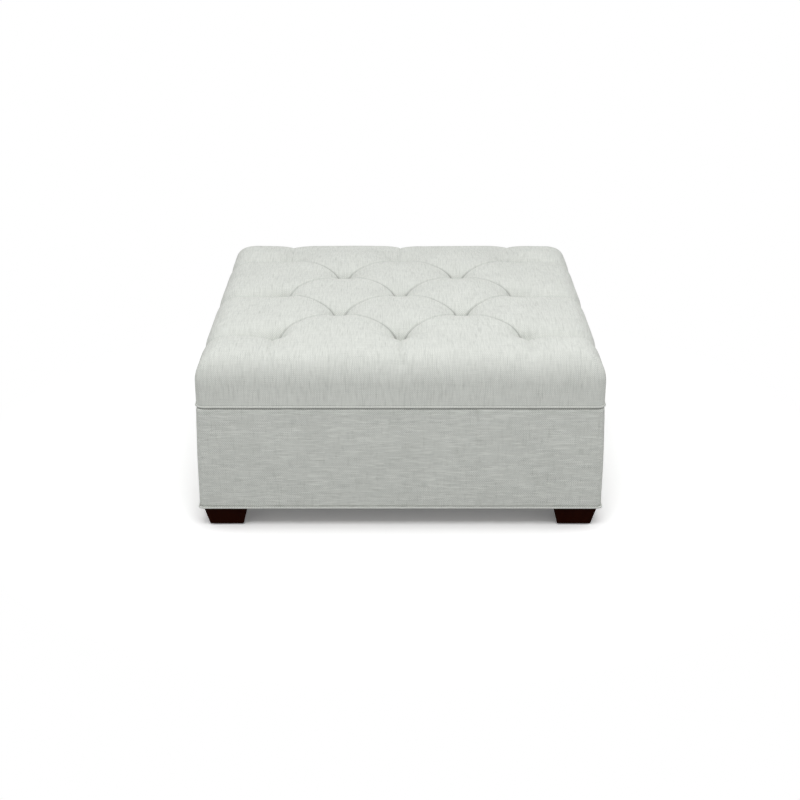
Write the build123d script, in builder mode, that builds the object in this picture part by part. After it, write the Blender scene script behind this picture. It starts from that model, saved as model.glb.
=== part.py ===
from build123d import *
from math import atan2, cos, hypot, radians, sin, sqrt
import os

# Square storage ottoman: a box on four tapered feet and a deep-tufted lid hinged at the back.
# Millimetres. X to the right, the front towards -Y, +Z up, the origin on the floor under the middle.

# Overall sizes
box_side = 1006
box_top = 325
lid_height = 149
lid_open_angle = 80

# Layers of the box, from the cover inwards
cover_thickness = 1.5
padding_thickness = 6
panel_thickness = 18
lining_thickness = 1
cover_corner_radius = 8
cover_lip_height = 24
floor_thickness = 12
dust_cover_thickness = 0.8
dust_cover_margin = 12

# Welts, the covered cords sewn into the seams, each with its stapled flange
welt_radius = 2.8
welt_flange_thickness = 1
welt_flange_width = 26

# Corner posts, foot blocks and cleats
post_side = 38
post_height = 105
foot_block_side = 110
foot_block_height = 20
cleat_width = 24
hole_clearance = 0.1

# Feet
foot_height = 56
foot_top_side = 111
foot_bottom_side = 85
foot_inset = 6
foot_edge_radius = 2
foot_bolt_radius = 4
foot_bolt_depth = 34
glide_radius = 15
glide_height = 3
glide_edge = 0.8

# Lid structure
rim_gap = 3
lid_overhang = 0.5
lid_padding = 6.5
deck_thickness = 18
batting_thickness = 32
foam_edge_bevel = 55

# Outer form of the lid: it swells above the seam and turns over a round shoulder
lid_belly = 2
lid_corner_radius = 22
top_corner_radius = 60
shoulder_height = 75
shoulder_width = 100
belly_level_share = 0.55
shoulder_side_share = 0.85
shoulder_angles = (0, 25, 50, 72, 90)

# Tufts: a three by three grid with four more between
tuft_pitch_share = 0.16
tuft_depth = 56
tuft_floor_radius = 13
tuft_neck_radius = 15
tuft_neck_depth = 36
tuft_slope_radius = 40
tuft_slope_depth = 17
tuft_mouth_radius = 100
plug_top_radius = 40
plug_floor_radius = 22
plug_thickness = 6
pleat_half_width = 26
pleat_depths = ((-1, 40), (-0.7, 22), (-0.4, 11), (0, 5), (0.4, 11), (0.7, 22), (1, 40))
pleat_overrun = 2

# Buttons, twine and the anchors under the deck
button_radius = 11.5
button_height = 6
button_edge_bevel = 3
twine_radius = 1.2
twine_hole_radius = 4
anchor_radius = 10
anchor_thickness = 2

# Continuous hinge
hinge_length = 900
knuckle_count = 15
knuckle_radius = 2.25
knuckle_gap = 0.4
hinge_pin_radius = 1.25
hinge_pin_clearance = 0.05
hinge_wall_gap = 0.3
leaf_thickness = 1.2
leaf_width = 24
hinge_screw_radius = 2
hinge_screw_head_radius = 3.6
hinge_screw_head_height = 1
hinge_screw_length = 16
hinge_screw_count = 8

# Rim bumpers
bumper_radius = 7
bumper_clearance = 0.2
bumper_row_share = 0.62

# Gas stays: where each one's two studs lie from the hinge's axis, towards the front and down
stay_base_forward = 45
stay_base_down = 80
stay_lid_forward = 300
stay_lid_down = 16
stay_wall_distance = 20
stay_socket_radius = 7
stay_socket_length = 12
stay_ball_radius = 4.5
stay_ball_clearance = 0.1
stay_mouth_clearance = 0.6
stay_stud_radius = 3
stay_tube_radius = 8.5
stay_tube_wall = 1
stay_gland_length = 12
stay_cap_length = 4
stay_neck_length = 16
stay_neck_radius = 5
stay_rod_radius = 4
stay_rod_clearance = 0.05
stay_piston_height = 8
stay_open_pivot_clearance = 0.3
bracket_thickness = 2
bracket_height = 46
bracket_width = 30
bracket_flange = 24
bracket_hole_radius = 2.2
bracket_hole_spacing = 32
lid_stud_length = 5
bracket_corner_radius = 4

quarter_turn = 90

# Levels and half sides that follow from the sizes above
half_box = box_side / 2
padding_half = half_box - cover_thickness
frame_half = padding_half - padding_thickness
inner_half = frame_half - panel_thickness
lining_half = inner_half - lining_thickness
flange_level = foot_height + dust_cover_thickness
frame_bottom = flange_level + welt_flange_thickness
frame_top = box_top - cover_thickness
frame_height = frame_top - frame_bottom
floor_bottom = frame_bottom + foot_block_height
floor_top = floor_bottom + floor_thickness
lip_bottom = frame_top - cover_lip_height
box_welt_level = flange_level + welt_radius
cover_bottom = box_welt_level + welt_radius
padding_corner_radius = cover_corner_radius - cover_thickness
post_place = inner_half - post_side / 2
foot_place = half_box - foot_inset - foot_top_side / 2
foot_block_place = inner_half - foot_block_side / 2

lid_bottom = box_top + rim_gap
deck_bottom = lid_bottom + lining_thickness
deck_top = deck_bottom + deck_thickness
crest = lid_bottom + lid_height
foam_top = crest - batting_thickness
foam_bevel_level = foam_top - foam_edge_bevel
seam_half = half_box + lid_overhang
deck_half = seam_half - lid_padding
deck_corner_radius = lid_corner_radius - lid_padding
lid_welt_level = lid_bottom + welt_radius + knuckle_radius / 2 - hinge_wall_gap
shoulder_base = crest - shoulder_height
tuft_floor = crest - tuft_depth
plug_floor = tuft_floor - plug_thickness

hinge_y = half_box + hinge_wall_gap + knuckle_radius
hinge_z = box_top + rim_gap / 2
hinge_bore_radius = hinge_pin_radius + hinge_pin_clearance
knuckle_pitch = hinge_length / knuckle_count
leaf_screw_y = hinge_y - leaf_width * 2 / 3
hinge_screw_pitch = hinge_length / hinge_screw_count

tuft_pitch = box_side * tuft_pitch_share
outer_tufts = [(2 * i * tuft_pitch, 2 * j * tuft_pitch) for i in (-1, 0, 1) for j in (-1, 0, 1)]
inner_tufts = [(i * tuft_pitch, j * tuft_pitch) for i in (-1, 1) for j in (-1, 1)]
tufts = outer_tufts + inner_tufts
corner_signs = [(i, j) for i in (-1, 1) for j in (-1, 1)]

# Geometry of the stays: the stud on the lid turns about the hinge's axis
stay_x = lining_half - stay_wall_distance - bracket_thickness
stay_base_y = hinge_y - stay_base_forward
stay_base_z = hinge_z - stay_base_down


def stay_reach(angle):
    """Length and slope of a stay with the lid raised by an angle in radians."""
    y = stay_base_forward - stay_lid_forward * cos(angle) - stay_lid_down * sin(angle)
    z = stay_base_down + stay_lid_forward * sin(angle) - stay_lid_down * cos(angle)
    return hypot(y, z), atan2(z, y)


stay_length, stay_slope = stay_reach(0)
stay_stroke = stay_reach(radians(lid_open_angle))[0] - stay_length
stay_lid_y = hinge_y - stay_lid_forward
stay_lid_z = hinge_z - stay_lid_down


def save(builder, name):
    """Label a finished piece and write its file."""
    builder.part.label = name
    export_step(builder.part, f"parts/{name}.step")


def square_ring(outer_half, ring_half, low, high):
    """A square ring between two levels, in the piece being built."""
    with BuildSketch(Plane.XY.offset(low)) as outline:
        Rectangle(2 * outer_half, 2 * outer_half)
        Rectangle(2 * ring_half, 2 * ring_half, mode=Mode.SUBTRACT)
    extrude(outline.sketch, amount=high - low)


def slab(half, low, high):
    """A square slab between two levels."""
    with BuildSketch(Plane.XY.offset(low)) as outline:
        Rectangle(2 * half, 2 * half)
    extrude(outline.sketch, amount=high - low)


def lid_block(low, high, mode=Mode.ADD):
    """A slab of the lid, inside its padding."""
    with BuildSketch(Plane.XY.offset(low)) as outline:
        RectangleRounded(2 * deck_half, 2 * deck_half, deck_corner_radius)
    extrude(outline.sketch, amount=high - low, mode=mode)


def welt(half, corner_radius, level, radius, mode=Mode.ADD):
    """A round cord that runs once round the seam, corners rounded."""
    with BuildSketch(Plane.XY.offset(level)) as seam:
        RectangleRounded(2 * half, 2 * half, corner_radius)
    path = seam.sketch.face().outer_wire()
    with BuildSketch(Plane(origin=path @ 0, z_dir=path % 0)) as section:
        Circle(radius)
    sweep(section.sketch, path=path, mode=mode)


os.makedirs("parts", exist_ok=True)

# Plywood panels of the box: the front and back run the full width, the sides fit between
for name, side in (("front_panel", -1), ("back_panel", 1)):
    with BuildPart() as panel:
        with BuildSketch(Plane.XY.offset(frame_bottom)):
            with Locations((0, side * (inner_half + panel_thickness / 2))):
                Rectangle(2 * frame_half, panel_thickness)
        extrude(amount=frame_height)
        if side > 0:
            with Locations(Plane.XY.offset(frame_top)):
                with Locations((0, leaf_screw_y)):
                    with GridLocations(hinge_screw_pitch, 0, hinge_screw_count, 1):
                        Hole(hinge_screw_radius + hole_clearance, depth=hinge_screw_length)
    save(panel, name)

for name, side in (("left_panel", -1), ("right_panel", 1)):
    with BuildPart() as panel:
        with BuildSketch(Plane.XY.offset(frame_bottom)):
            with Locations((side * (inner_half + panel_thickness / 2), 0)):
                Rectangle(panel_thickness, 2 * inner_half)
        extrude(amount=frame_height)
    save(panel, name)

# Blocks in the bottom corners that the feet bolt into
with BuildPart() as foot_blocks:
    with BuildSketch(Plane.XY.offset(frame_bottom)):
        with GridLocations(2 * foot_block_place, 2 * foot_block_place, 2, 2):
            Rectangle(foot_block_side, foot_block_side)
        with GridLocations(2 * foot_place, 2 * foot_place, 2, 2):
            Circle(foot_bolt_radius + hole_clearance, mode=Mode.SUBTRACT)
    extrude(amount=foot_block_height)
save(foot_blocks, "foot_blocks")

# Cleats between the foot blocks carry the floor
cleat_length = 2 * (inner_half - foot_block_side)
cleat_place = inner_half - cleat_width / 2
with BuildPart() as floor_cleats:
    with BuildSketch(Plane.XY.offset(frame_bottom)):
        with GridLocations(0, 2 * cleat_place, 1, 2):
            Rectangle(cleat_length, cleat_width)
        with GridLocations(2 * cleat_place, 0, 2, 1):
            Rectangle(cleat_width, cleat_length)
    extrude(amount=foot_block_height)
save(floor_cleats, "floor_cleats")

with BuildPart() as floor_panel:
    slab(inner_half, floor_bottom, floor_top)
save(floor_panel, "floor_panel")

with BuildPart() as corner_posts:
    with BuildSketch(Plane.XY.offset(floor_top)):
        with GridLocations(2 * post_place, 2 * post_place, 2, 2):
            Rectangle(post_side, post_side)
    extrude(amount=post_height)
save(corner_posts, "corner_posts")

# Foam wrap round the outside of the panels
with BuildPart() as box_padding:
    with BuildSketch(Plane.XY.offset(cover_bottom)):
        RectangleRounded(2 * padding_half, 2 * padding_half, padding_corner_radius)
        Rectangle(2 * frame_half, 2 * frame_half, mode=Mode.SUBTRACT)
    extrude(amount=frame_top - cover_bottom)
save(box_padding, "box_padding")

# The cover goes up the outside, over the rim and a hand's width down the inside
with BuildPart() as box_cover:
    with BuildSketch(Plane.XY.offset(cover_bottom)):
        RectangleRounded(2 * half_box, 2 * half_box, cover_corner_radius)
        RectangleRounded(2 * padding_half, 2 * padding_half, padding_corner_radius, mode=Mode.SUBTRACT)
    extrude(amount=frame_top - cover_bottom)
    with BuildSketch(Plane.XY.offset(frame_top)):
        RectangleRounded(2 * half_box, 2 * half_box, cover_corner_radius)
        Rectangle(2 * (inner_half - cover_thickness), 2 * (inner_half - cover_thickness), mode=Mode.SUBTRACT)
    extrude(amount=cover_thickness)
    square_ring(inner_half, inner_half - cover_thickness, lip_bottom, frame_top)
    with Locations(Plane.XY.offset(box_top)):
        with Locations((0, leaf_screw_y)):
            with GridLocations(hinge_screw_pitch, 0, hinge_screw_count, 1):
                Hole(hinge_screw_radius + hole_clearance, depth=cover_thickness)
save(box_cover, "box_cover")

# Welt round the bottom edge, its flange stapled under the panels
with BuildPart() as box_welt:
    welt(half_box, cover_corner_radius, box_welt_level, welt_radius)
    square_ring(frame_half, half_box - welt_flange_width, flange_level, frame_bottom)
    with BuildSketch(Plane.XY.offset(flange_level)):
        RectangleRounded(2 * half_box, 2 * half_box, cover_corner_radius)
        Rectangle(2 * frame_half, 2 * frame_half, mode=Mode.SUBTRACT)
    extrude(amount=welt_flange_thickness)
save(box_welt, "box_welt")

# Lining of the storage space, folded round the corner posts
with BuildPart() as box_lining:
    slab(inner_half, floor_top, lip_bottom)
    with BuildPart(mode=Mode.PRIVATE) as lining_space:
        slab(lining_half, floor_top + lining_thickness, lip_bottom)
        with BuildSketch(Plane.XY.offset(floor_top)):
            with GridLocations(2 * post_place, 2 * post_place, 2, 2):
                Rectangle(post_side + 2 * lining_thickness, post_side + 2 * lining_thickness)
        extrude(amount=post_height + lining_thickness, mode=Mode.SUBTRACT)
    add(lining_space.part, mode=Mode.SUBTRACT)
    add(corner_posts.part, mode=Mode.SUBTRACT)
save(box_lining, "box_lining")

# Thin cloth under the box, between its frame and the feet
with BuildPart() as dust_cover:
    slab(frame_half - dust_cover_margin, foot_height, flange_level)
    with Locations(Plane.XY.offset(flange_level)):
        with GridLocations(2 * foot_place, 2 * foot_place, 2, 2):
            Hole(foot_bolt_radius + hole_clearance)
save(dust_cover, "dust_cover")

# Tapered feet with their hanger bolts and glides
foot_names = {(-1, -1): "front_left", (1, -1): "front_right", (-1, 1): "back_left", (1, 1): "back_right"}
for (i, j), place in foot_names.items():
    with BuildPart() as foot:
        with BuildSketch(Plane.XY.offset(glide_height)):
            with Locations((i * foot_place, j * foot_place)):
                RectangleRounded(foot_bottom_side, foot_bottom_side, foot_edge_radius)
        with BuildSketch(Plane.XY.offset(foot_height)):
            with Locations((i * foot_place, j * foot_place)):
                RectangleRounded(foot_top_side, foot_top_side, foot_edge_radius)
        loft(ruled=True)
        with Locations(Plane.XY.offset(foot_height)):
            with Locations((i * foot_place, j * foot_place)):
                Hole(foot_bolt_radius + hole_clearance, depth=foot_bolt_depth)
    save(foot, f"foot_{place}")

with BuildPart() as foot_bolts:
    with BuildSketch(Plane.XY.offset(foot_height - foot_bolt_depth)):
        with GridLocations(2 * foot_place, 2 * foot_place, 2, 2):
            Circle(foot_bolt_radius)
    extrude(amount=floor_bottom - foot_height + foot_bolt_depth)
save(foot_bolts, "foot_bolts")

with BuildPart() as foot_glides:
    with BuildSketch():
        with GridLocations(2 * foot_place, 2 * foot_place, 2, 2):
            Circle(glide_radius)
    extrude(amount=glide_height)
    bottom_edges = foot_glides.faces().group_by(Axis.Z)[0].edges()
    chamfer(bottom_edges, glide_edge)
save(foot_glides, "foot_glides")

# Continuous hinge: knuckles of the two leaves alternate along one pin
def hinge_leaf(first, low, high):
    """A leaf whose knuckles start at the given place in the row."""
    places = range(first, knuckle_count, 2)
    width = knuckle_pitch - knuckle_gap
    centres = [(k - (knuckle_count - 1) / 2) * knuckle_pitch for k in places]
    with BuildSketch(Plane.XY.offset(low)) as plate:
        with Locations((0, hinge_y - (leaf_width + knuckle_radius + knuckle_gap) / 2)):
            Rectangle(hinge_length, leaf_width - knuckle_radius - knuckle_gap)
        for centre in centres:
            with Locations((centre, hinge_y - knuckle_radius)):
                Rectangle(width, 2 * knuckle_radius)
    extrude(plate.sketch, amount=high - low)
    for centre in centres:
        with BuildSketch(Plane.YZ.offset(centre - width / 2)) as barrel:
            with Locations((hinge_y, hinge_z)):
                Circle(knuckle_radius)
        extrude(barrel.sketch, amount=width)
    for centre in centres:
        with BuildSketch(Plane.YZ.offset(centre - width / 2)) as bore:
            with Locations((hinge_y, hinge_z)):
                Circle(hinge_bore_radius)
        extrude(bore.sketch, amount=width, mode=Mode.SUBTRACT)


with BuildPart() as hinge_base_leaf:
    hinge_leaf(0, box_top, box_top + leaf_thickness)
    with Locations(Plane.XY.offset(box_top + leaf_thickness)):
        with Locations((0, leaf_screw_y)):
            with GridLocations(hinge_screw_pitch, 0, hinge_screw_count, 1):
                Hole(hinge_screw_head_radius + hole_clearance)
save(hinge_base_leaf, "hinge_base_leaf")

with BuildPart() as hinge_lid_leaf:
    hinge_leaf(1, lid_bottom - leaf_thickness, lid_bottom)
    with Locations(Plane.XY.offset(lid_bottom)):
        with Locations((0, leaf_screw_y)):
            with GridLocations(hinge_screw_pitch, 0, hinge_screw_count, 1):
                Hole(hinge_screw_head_radius + hole_clearance)
save(hinge_lid_leaf, "hinge_lid_leaf")

with BuildPart() as hinge_pin:
    with BuildSketch(Plane.YZ.offset(-hinge_length / 2)):
        with Locations((hinge_y, hinge_z)):
            Circle(hinge_pin_radius)
    extrude(amount=hinge_length)
save(hinge_pin, "hinge_pin")


def hinge_screws(head_level, way):
    """A row of screws whose heads sit in the leaf; way is -1 for down and 1 for up."""
    with BuildSketch(Plane.XY.offset(head_level)) as heads:
        with Locations((0, leaf_screw_y)):
            with GridLocations(hinge_screw_pitch, 0, hinge_screw_count, 1):
                Circle(hinge_screw_head_radius)
    extrude(heads.sketch, amount=way * hinge_screw_head_height)
    with BuildSketch(Plane.XY.offset(head_level)) as shanks:
        with Locations((0, leaf_screw_y)):
            with GridLocations(hinge_screw_pitch, 0, hinge_screw_count, 1):
                Circle(hinge_screw_radius)
    extrude(shanks.sketch, amount=way * hinge_screw_length)


with BuildPart() as hinge_base_screws:
    hinge_screws(box_top + hinge_screw_head_height, -1)
save(hinge_base_screws, "hinge_base_screws")

with BuildPart() as hinge_lid_screws:
    hinge_screws(lid_bottom - hinge_screw_head_height, 1)
save(hinge_lid_screws, "hinge_lid_screws")

# Bumpers on the rim, two along the front and two along each side
rim_line = inner_half + panel_thickness / 2
bumper_reach = rim_line * bumper_row_share
bumper_places = [(i * bumper_reach, -rim_line) for i in (-1, 1)]
bumper_places += [(i * rim_line, j * bumper_reach) for i, j in corner_signs]
with BuildPart() as rim_bumpers:
    with BuildSketch(Plane.XY.offset(box_top)):
        with Locations(*bumper_places):
            Circle(bumper_radius)
    extrude(amount=rim_gap - bumper_clearance)
save(rim_bumpers, "rim_bumpers")

# Lid deck, drilled for the tufting twine, with seats for the anchors underneath
with BuildPart() as lid_deck:
    lid_block(deck_bottom, deck_top)
    with Locations(Plane.XY.offset(deck_top)):
        with Locations(*tufts):
            Hole(twine_hole_radius)
    with BuildSketch(Plane.XY.offset(deck_bottom)):
        with Locations(*tufts):
            Circle(anchor_radius + hole_clearance)
    extrude(amount=anchor_thickness, mode=Mode.SUBTRACT)
    with BuildSketch(Plane.XY.offset(deck_bottom)):
        with Locations((0, leaf_screw_y)):
            with GridLocations(hinge_screw_pitch, 0, hinge_screw_count, 1):
                Circle(hinge_screw_radius + hole_clearance)
    extrude(amount=hinge_screw_length, mode=Mode.SUBTRACT)
save(lid_deck, "lid_deck")

# Foam block, bevelled under the shoulders, with a cone and a bore for the twine at each tuft
with BuildPart() as foam_form:
    lid_block(deck_top, foam_bevel_level)
    for level, half in ((foam_bevel_level, deck_half), (foam_top, deck_half - foam_edge_bevel)):
        with BuildSketch(Plane.XY.offset(level)):
            RectangleRounded(2 * half, 2 * half, deck_corner_radius)
    loft(ruled=True)
    with BuildPart(mode=Mode.PRIVATE) as foam_cone:
        with BuildSketch(Plane.XY.offset(plug_floor)):
            Circle(plug_floor_radius)
        with BuildSketch(Plane.XY.offset(foam_top)):
            Circle(plug_top_radius)
        loft(ruled=True)
    with Locations(*tufts):
        add(foam_cone.part, mode=Mode.SUBTRACT)

with BuildPart() as lid_foam:
    add(foam_form.part)
    with Locations(Plane.XY.offset(foam_top)):
        with Locations(*tufts):
            Hole(twine_hole_radius)
save(lid_foam, "lid_foam")

# Cutter for one tuft: the cover falls in a widening funnel to the button's seat
with BuildPart() as dimple:
    with BuildSketch(Plane.XZ):
        with BuildLine():
            seat = (tuft_floor_radius, tuft_floor)
            neck = (tuft_neck_radius, crest - tuft_neck_depth)
            mouth = (tuft_mouth_radius, crest + pleat_overrun)
            Line((0, tuft_floor), seat)
            Line(seat, neck)
            ThreePointArc(neck, (tuft_slope_radius, crest - tuft_slope_depth), mouth)
            Line(mouth, (0, crest + pleat_overrun))
            Line((0, crest + pleat_overrun), (0, tuft_floor))
        make_face()
    revolve(axis=Axis.Z)

# Cutter for one pleat, along X: deep at the two tufts and shallow half-way between
pleat_reach = tuft_pitch / sqrt(2)
with BuildPart() as pleat:
    for share, depth in pleat_depths:
        with BuildSketch(Plane.YZ.offset(share * pleat_reach)):
            with BuildLine():
                top = crest + pleat_overrun
                Polyline((-pleat_half_width, top), (0, crest - depth), (pleat_half_width, top), close=True)
            make_face()
    loft(ruled=True)

# Where the pleats lie: along the diagonals between tufts, and from the outer tufts to the edges
pleat_places = []
for i, j in inner_tufts:
    for a, b in corner_signs:
        centre = (i + a * tuft_pitch / 2, j + b * tuft_pitch / 2)
        pleat_places.append(Location((centre[0], centre[1], 0), (0, 0, a * b * quarter_turn / 2)))
for k in (-1, 0, 1):
    for side in (-1, 1):
        along = 2 * k * tuft_pitch
        across = side * (2 * tuft_pitch + pleat_reach)
        pleat_places.append(Location((along, across, 0), (0, 0, quarter_turn)))
        pleat_places.append(Location((across, along, 0), (0, 0, 0)))


# Cover of the lid, quilted to its batting: swelling sides, round shoulders and sewn tufts
def lid_corner(level):
    """Corner radius at a level: tight at the seam and wide at the crest."""
    share = (level - deck_bottom) / (crest - deck_bottom)
    return lid_corner_radius + (top_corner_radius - lid_corner_radius) * share


belly_level = deck_bottom + (shoulder_base - deck_bottom) * belly_level_share
shoulder_half = seam_half + lid_belly * shoulder_side_share
side_levels = [(deck_bottom, seam_half), (belly_level, seam_half + lid_belly), (shoulder_base, shoulder_half)]
shoulder_levels = []
for angle in shoulder_angles:
    level = shoulder_base + shoulder_height * sin(radians(angle))
    shoulder_levels.append((level, shoulder_half - shoulder_width * (1 - cos(radians(angle)))))

with BuildPart() as lid_cover:
    for levels in (side_levels, shoulder_levels):
        for level, half in levels:
            with BuildSketch(Plane.XY.offset(level)):
                RectangleRounded(2 * half, 2 * half, lid_corner(level))
        loft()
    for place in pleat_places:
        with Locations(place):
            add(pleat.part, mode=Mode.SUBTRACT)
    for place in tufts:
        with Locations(place):
            add(dimple.part, mode=Mode.SUBTRACT)
    lid_block(deck_bottom, deck_top, mode=Mode.SUBTRACT)
    add(foam_form.part, mode=Mode.SUBTRACT)
    with Locations(Plane.XY.offset(tuft_floor)):
        with Locations(*tufts):
            Hole(twine_hole_radius)
    welt(seam_half, lid_corner_radius, lid_welt_level, welt_radius, mode=Mode.SUBTRACT)
save(lid_cover, "lid_cover")

# Welt round the lid's seam
with BuildPart() as lid_welt:
    welt(seam_half, lid_corner_radius, lid_welt_level, welt_radius)
save(lid_welt, "lid_welt")

with BuildPart() as lid_liner:
    with BuildSketch(Plane.XY.offset(lid_bottom)):
        RectangleRounded(2 * deck_half, 2 * deck_half, deck_corner_radius)
        with Locations((0, leaf_screw_y)):
            with GridLocations(hinge_screw_pitch, 0, hinge_screw_count, 1):
                Circle(hinge_screw_radius + hole_clearance, mode=Mode.SUBTRACT)
    extrude(amount=lining_thickness)
save(lid_liner, "lid_liner")

# Covered buttons in the dimples, each tied down through the foam to an anchor under the deck
with BuildPart() as tuft_buttons:
    with BuildSketch(Plane.XY.offset(tuft_floor)):
        with Locations(*tufts):
            Circle(button_radius)
    extrude(amount=button_height)
    crowns = tuft_buttons.faces().group_by(Axis.Z)[-1]
    chamfer(crowns.edges(), button_edge_bevel)
save(tuft_buttons, "tuft_buttons")

with BuildPart() as tuft_twine:
    with BuildSketch(Plane.XY.offset(deck_bottom + anchor_thickness)):
        with Locations(*tufts):
            Circle(twine_radius)
    extrude(amount=tuft_floor - deck_bottom - anchor_thickness)
save(tuft_twine, "tuft_twine")

with BuildPart() as tuft_anchors:
    with BuildSketch(Plane.XY.offset(deck_bottom)):
        with Locations(*tufts):
            Circle(anchor_radius)
    extrude(amount=anchor_thickness)
save(tuft_anchors, "tuft_anchors")


# Gas stays, one at each side: a tube swings on a stud on the wall and its rod lifts the lid
def across(centre, way):
    """Upright plane at a point that faces right for a way of 1 and left for -1."""
    return Plane(origin=centre, x_dir=(0, way, 0), z_dir=(way, 0, 0))


def ball_stud(root, way, length):
    """A stud from its root along X that ends in a ball; way is 1 to the right or -1 to the left."""
    neck = length - sqrt(stay_ball_radius ** 2 - stay_stud_radius ** 2)
    with BuildSketch(Plane(origin=root, x_dir=(way, 0, 0), z_dir=(0, 0, 1))) as profile:
        with BuildLine():
            Line((0, 0), (0, stay_stud_radius))
            Line((0, stay_stud_radius), (neck, stay_stud_radius))
            tip = (length + stay_ball_radius, 0)
            ThreePointArc((neck, stay_stud_radius), (length, stay_ball_radius), tip)
            Line(tip, (0, 0))
        make_face()
    revolve(profile.sketch, axis=Axis(root, (way, 0, 0)))


def ball_socket(centre, way):
    """End fitting across a stay, hollowed for a ball, its mouth to the right or the left."""
    half = stay_socket_length / 2
    hollow = stay_ball_radius + stay_ball_clearance
    mouth = stay_stud_radius + stay_mouth_clearance
    lip = sqrt(hollow ** 2 - mouth ** 2)
    with BuildSketch(Plane(origin=centre, x_dir=(way, 0, 0), z_dir=(0, 0, 1))) as profile:
        with BuildLine():
            Polyline((-hollow, 0), (-half, 0), (-half, stay_socket_radius), (half, stay_socket_radius))
            Polyline((half, stay_socket_radius), (half, mouth), (lip, mouth))
            ThreePointArc((lip, mouth), (0, hollow), (-hollow, 0))
        make_face()
    revolve(profile.sketch, axis=Axis(centre, (way, 0, 0)))


stay_direction = (0, cos(stay_slope), sin(stay_slope))
tube_bore_radius = stay_tube_radius - stay_tube_wall
tube_floor = stay_neck_length + stay_cap_length
piston_start = tube_floor + stay_cap_length
piston_end = piston_start + stay_piston_height
gland_start = piston_end + stay_stroke + stay_cap_length
tube_end = gland_start + stay_gland_length
socket_core = (stay_ball_radius + stay_ball_clearance + stay_socket_radius) / 2

for name, side in (("left", -1), ("right", 1)):
    wall_x = side * lining_half
    base_ball = (side * stay_x, stay_base_y, stay_base_z)
    rod_ball = (side * stay_x, stay_lid_y, stay_lid_z)
    stay_plane = Plane(origin=base_ball, x_dir=stay_direction, z_dir=(1, 0, 0))
    stay_axis = Axis(base_ball, stay_direction)

    # Plate on the side wall with the lower stud
    with BuildPart() as base_bracket:
        with BuildSketch(across((wall_x, stay_base_y, stay_base_z), -side)):
            RectangleRounded(bracket_width, bracket_height, bracket_corner_radius)
            with GridLocations(0, bracket_hole_spacing, 1, 2):
                Circle(bracket_hole_radius, mode=Mode.SUBTRACT)
        extrude(amount=bracket_thickness)
        ball_stud((wall_x - side * bracket_thickness, stay_base_y, stay_base_z), -side, stay_wall_distance)
    save(base_bracket, f"stay_base_bracket_{name}")

    # Angle under the lid: a screwed flange and a rounded cheek with the upper stud
    cheek_x = side * (stay_x + stay_socket_length / 2 + stay_open_pivot_clearance)
    cheek_x += side * (stay_ball_radius + lid_stud_length)
    flange_x = cheek_x + side * (bracket_thickness - bracket_flange / 2)
    with BuildPart() as lid_bracket:
        with BuildSketch(across((cheek_x, stay_lid_y, stay_lid_z), side)):
            Circle(bracket_width / 2)
            with Locations((0, (lid_bottom - stay_lid_z) / 2)):
                Rectangle(bracket_width, lid_bottom - stay_lid_z)
        extrude(amount=bracket_thickness)
        with BuildSketch(Plane.XY.offset(lid_bottom - bracket_thickness)):
            with Locations((flange_x, stay_lid_y)):
                Rectangle(bracket_flange, bracket_height)
                with GridLocations(0, bracket_hole_spacing, 1, 2):
                    Circle(bracket_hole_radius, mode=Mode.SUBTRACT)
        extrude(amount=bracket_thickness)
        ball_stud((cheek_x, stay_lid_y, stay_lid_z), -side, lid_stud_length)
    save(lid_bracket, f"stay_lid_bracket_{name}")

    # Pressure tube with its end fitting and the gland that guides the rod
    with BuildPart() as stay_tube:
        with BuildSketch(stay_plane):
            with BuildLine():
                Polyline(
                    (socket_core, 0),
                    (socket_core, stay_neck_radius),
                    (stay_neck_length, stay_neck_radius),
                    (stay_neck_length, stay_tube_radius),
                    (tube_end, stay_tube_radius),
                    (tube_end, stay_rod_radius + stay_rod_clearance),
                    (gland_start, stay_rod_radius + stay_rod_clearance),
                    (gland_start, tube_bore_radius),
                    (tube_floor, tube_bore_radius),
                    (tube_floor, 0),
                    close=True,
                )
            make_face()
        revolve(axis=stay_axis)
        ball_socket(base_ball, side)
    save(stay_tube, f"stay_tube_{name}")

    # Rod with its piston, and the end fitting that faces the stud under the lid
    with BuildPart() as stay_rod:
        with BuildSketch(stay_plane):
            with BuildLine():
                Polyline(
                    (piston_start, 0),
                    (piston_start, tube_bore_radius - stay_rod_clearance),
                    (piston_end, tube_bore_radius - stay_rod_clearance),
                    (piston_end, stay_rod_radius),
                    (stay_length - stay_neck_length, stay_rod_radius),
                    (stay_length - stay_neck_length, stay_neck_radius),
                    (stay_length - socket_core, stay_neck_radius),
                    (stay_length - socket_core, 0),
                    close=True,
                )
            make_face()
        revolve(axis=stay_axis)
        ball_socket(rod_ball, side)
    save(stay_rod, f"stay_rod_{name}")
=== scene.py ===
import math

import bmesh
import bpy
import numpy as np
from bpy.props import FloatProperty, FloatVectorProperty, IntProperty, PointerProperty
from mathutils import Matrix, Vector, noise


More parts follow.
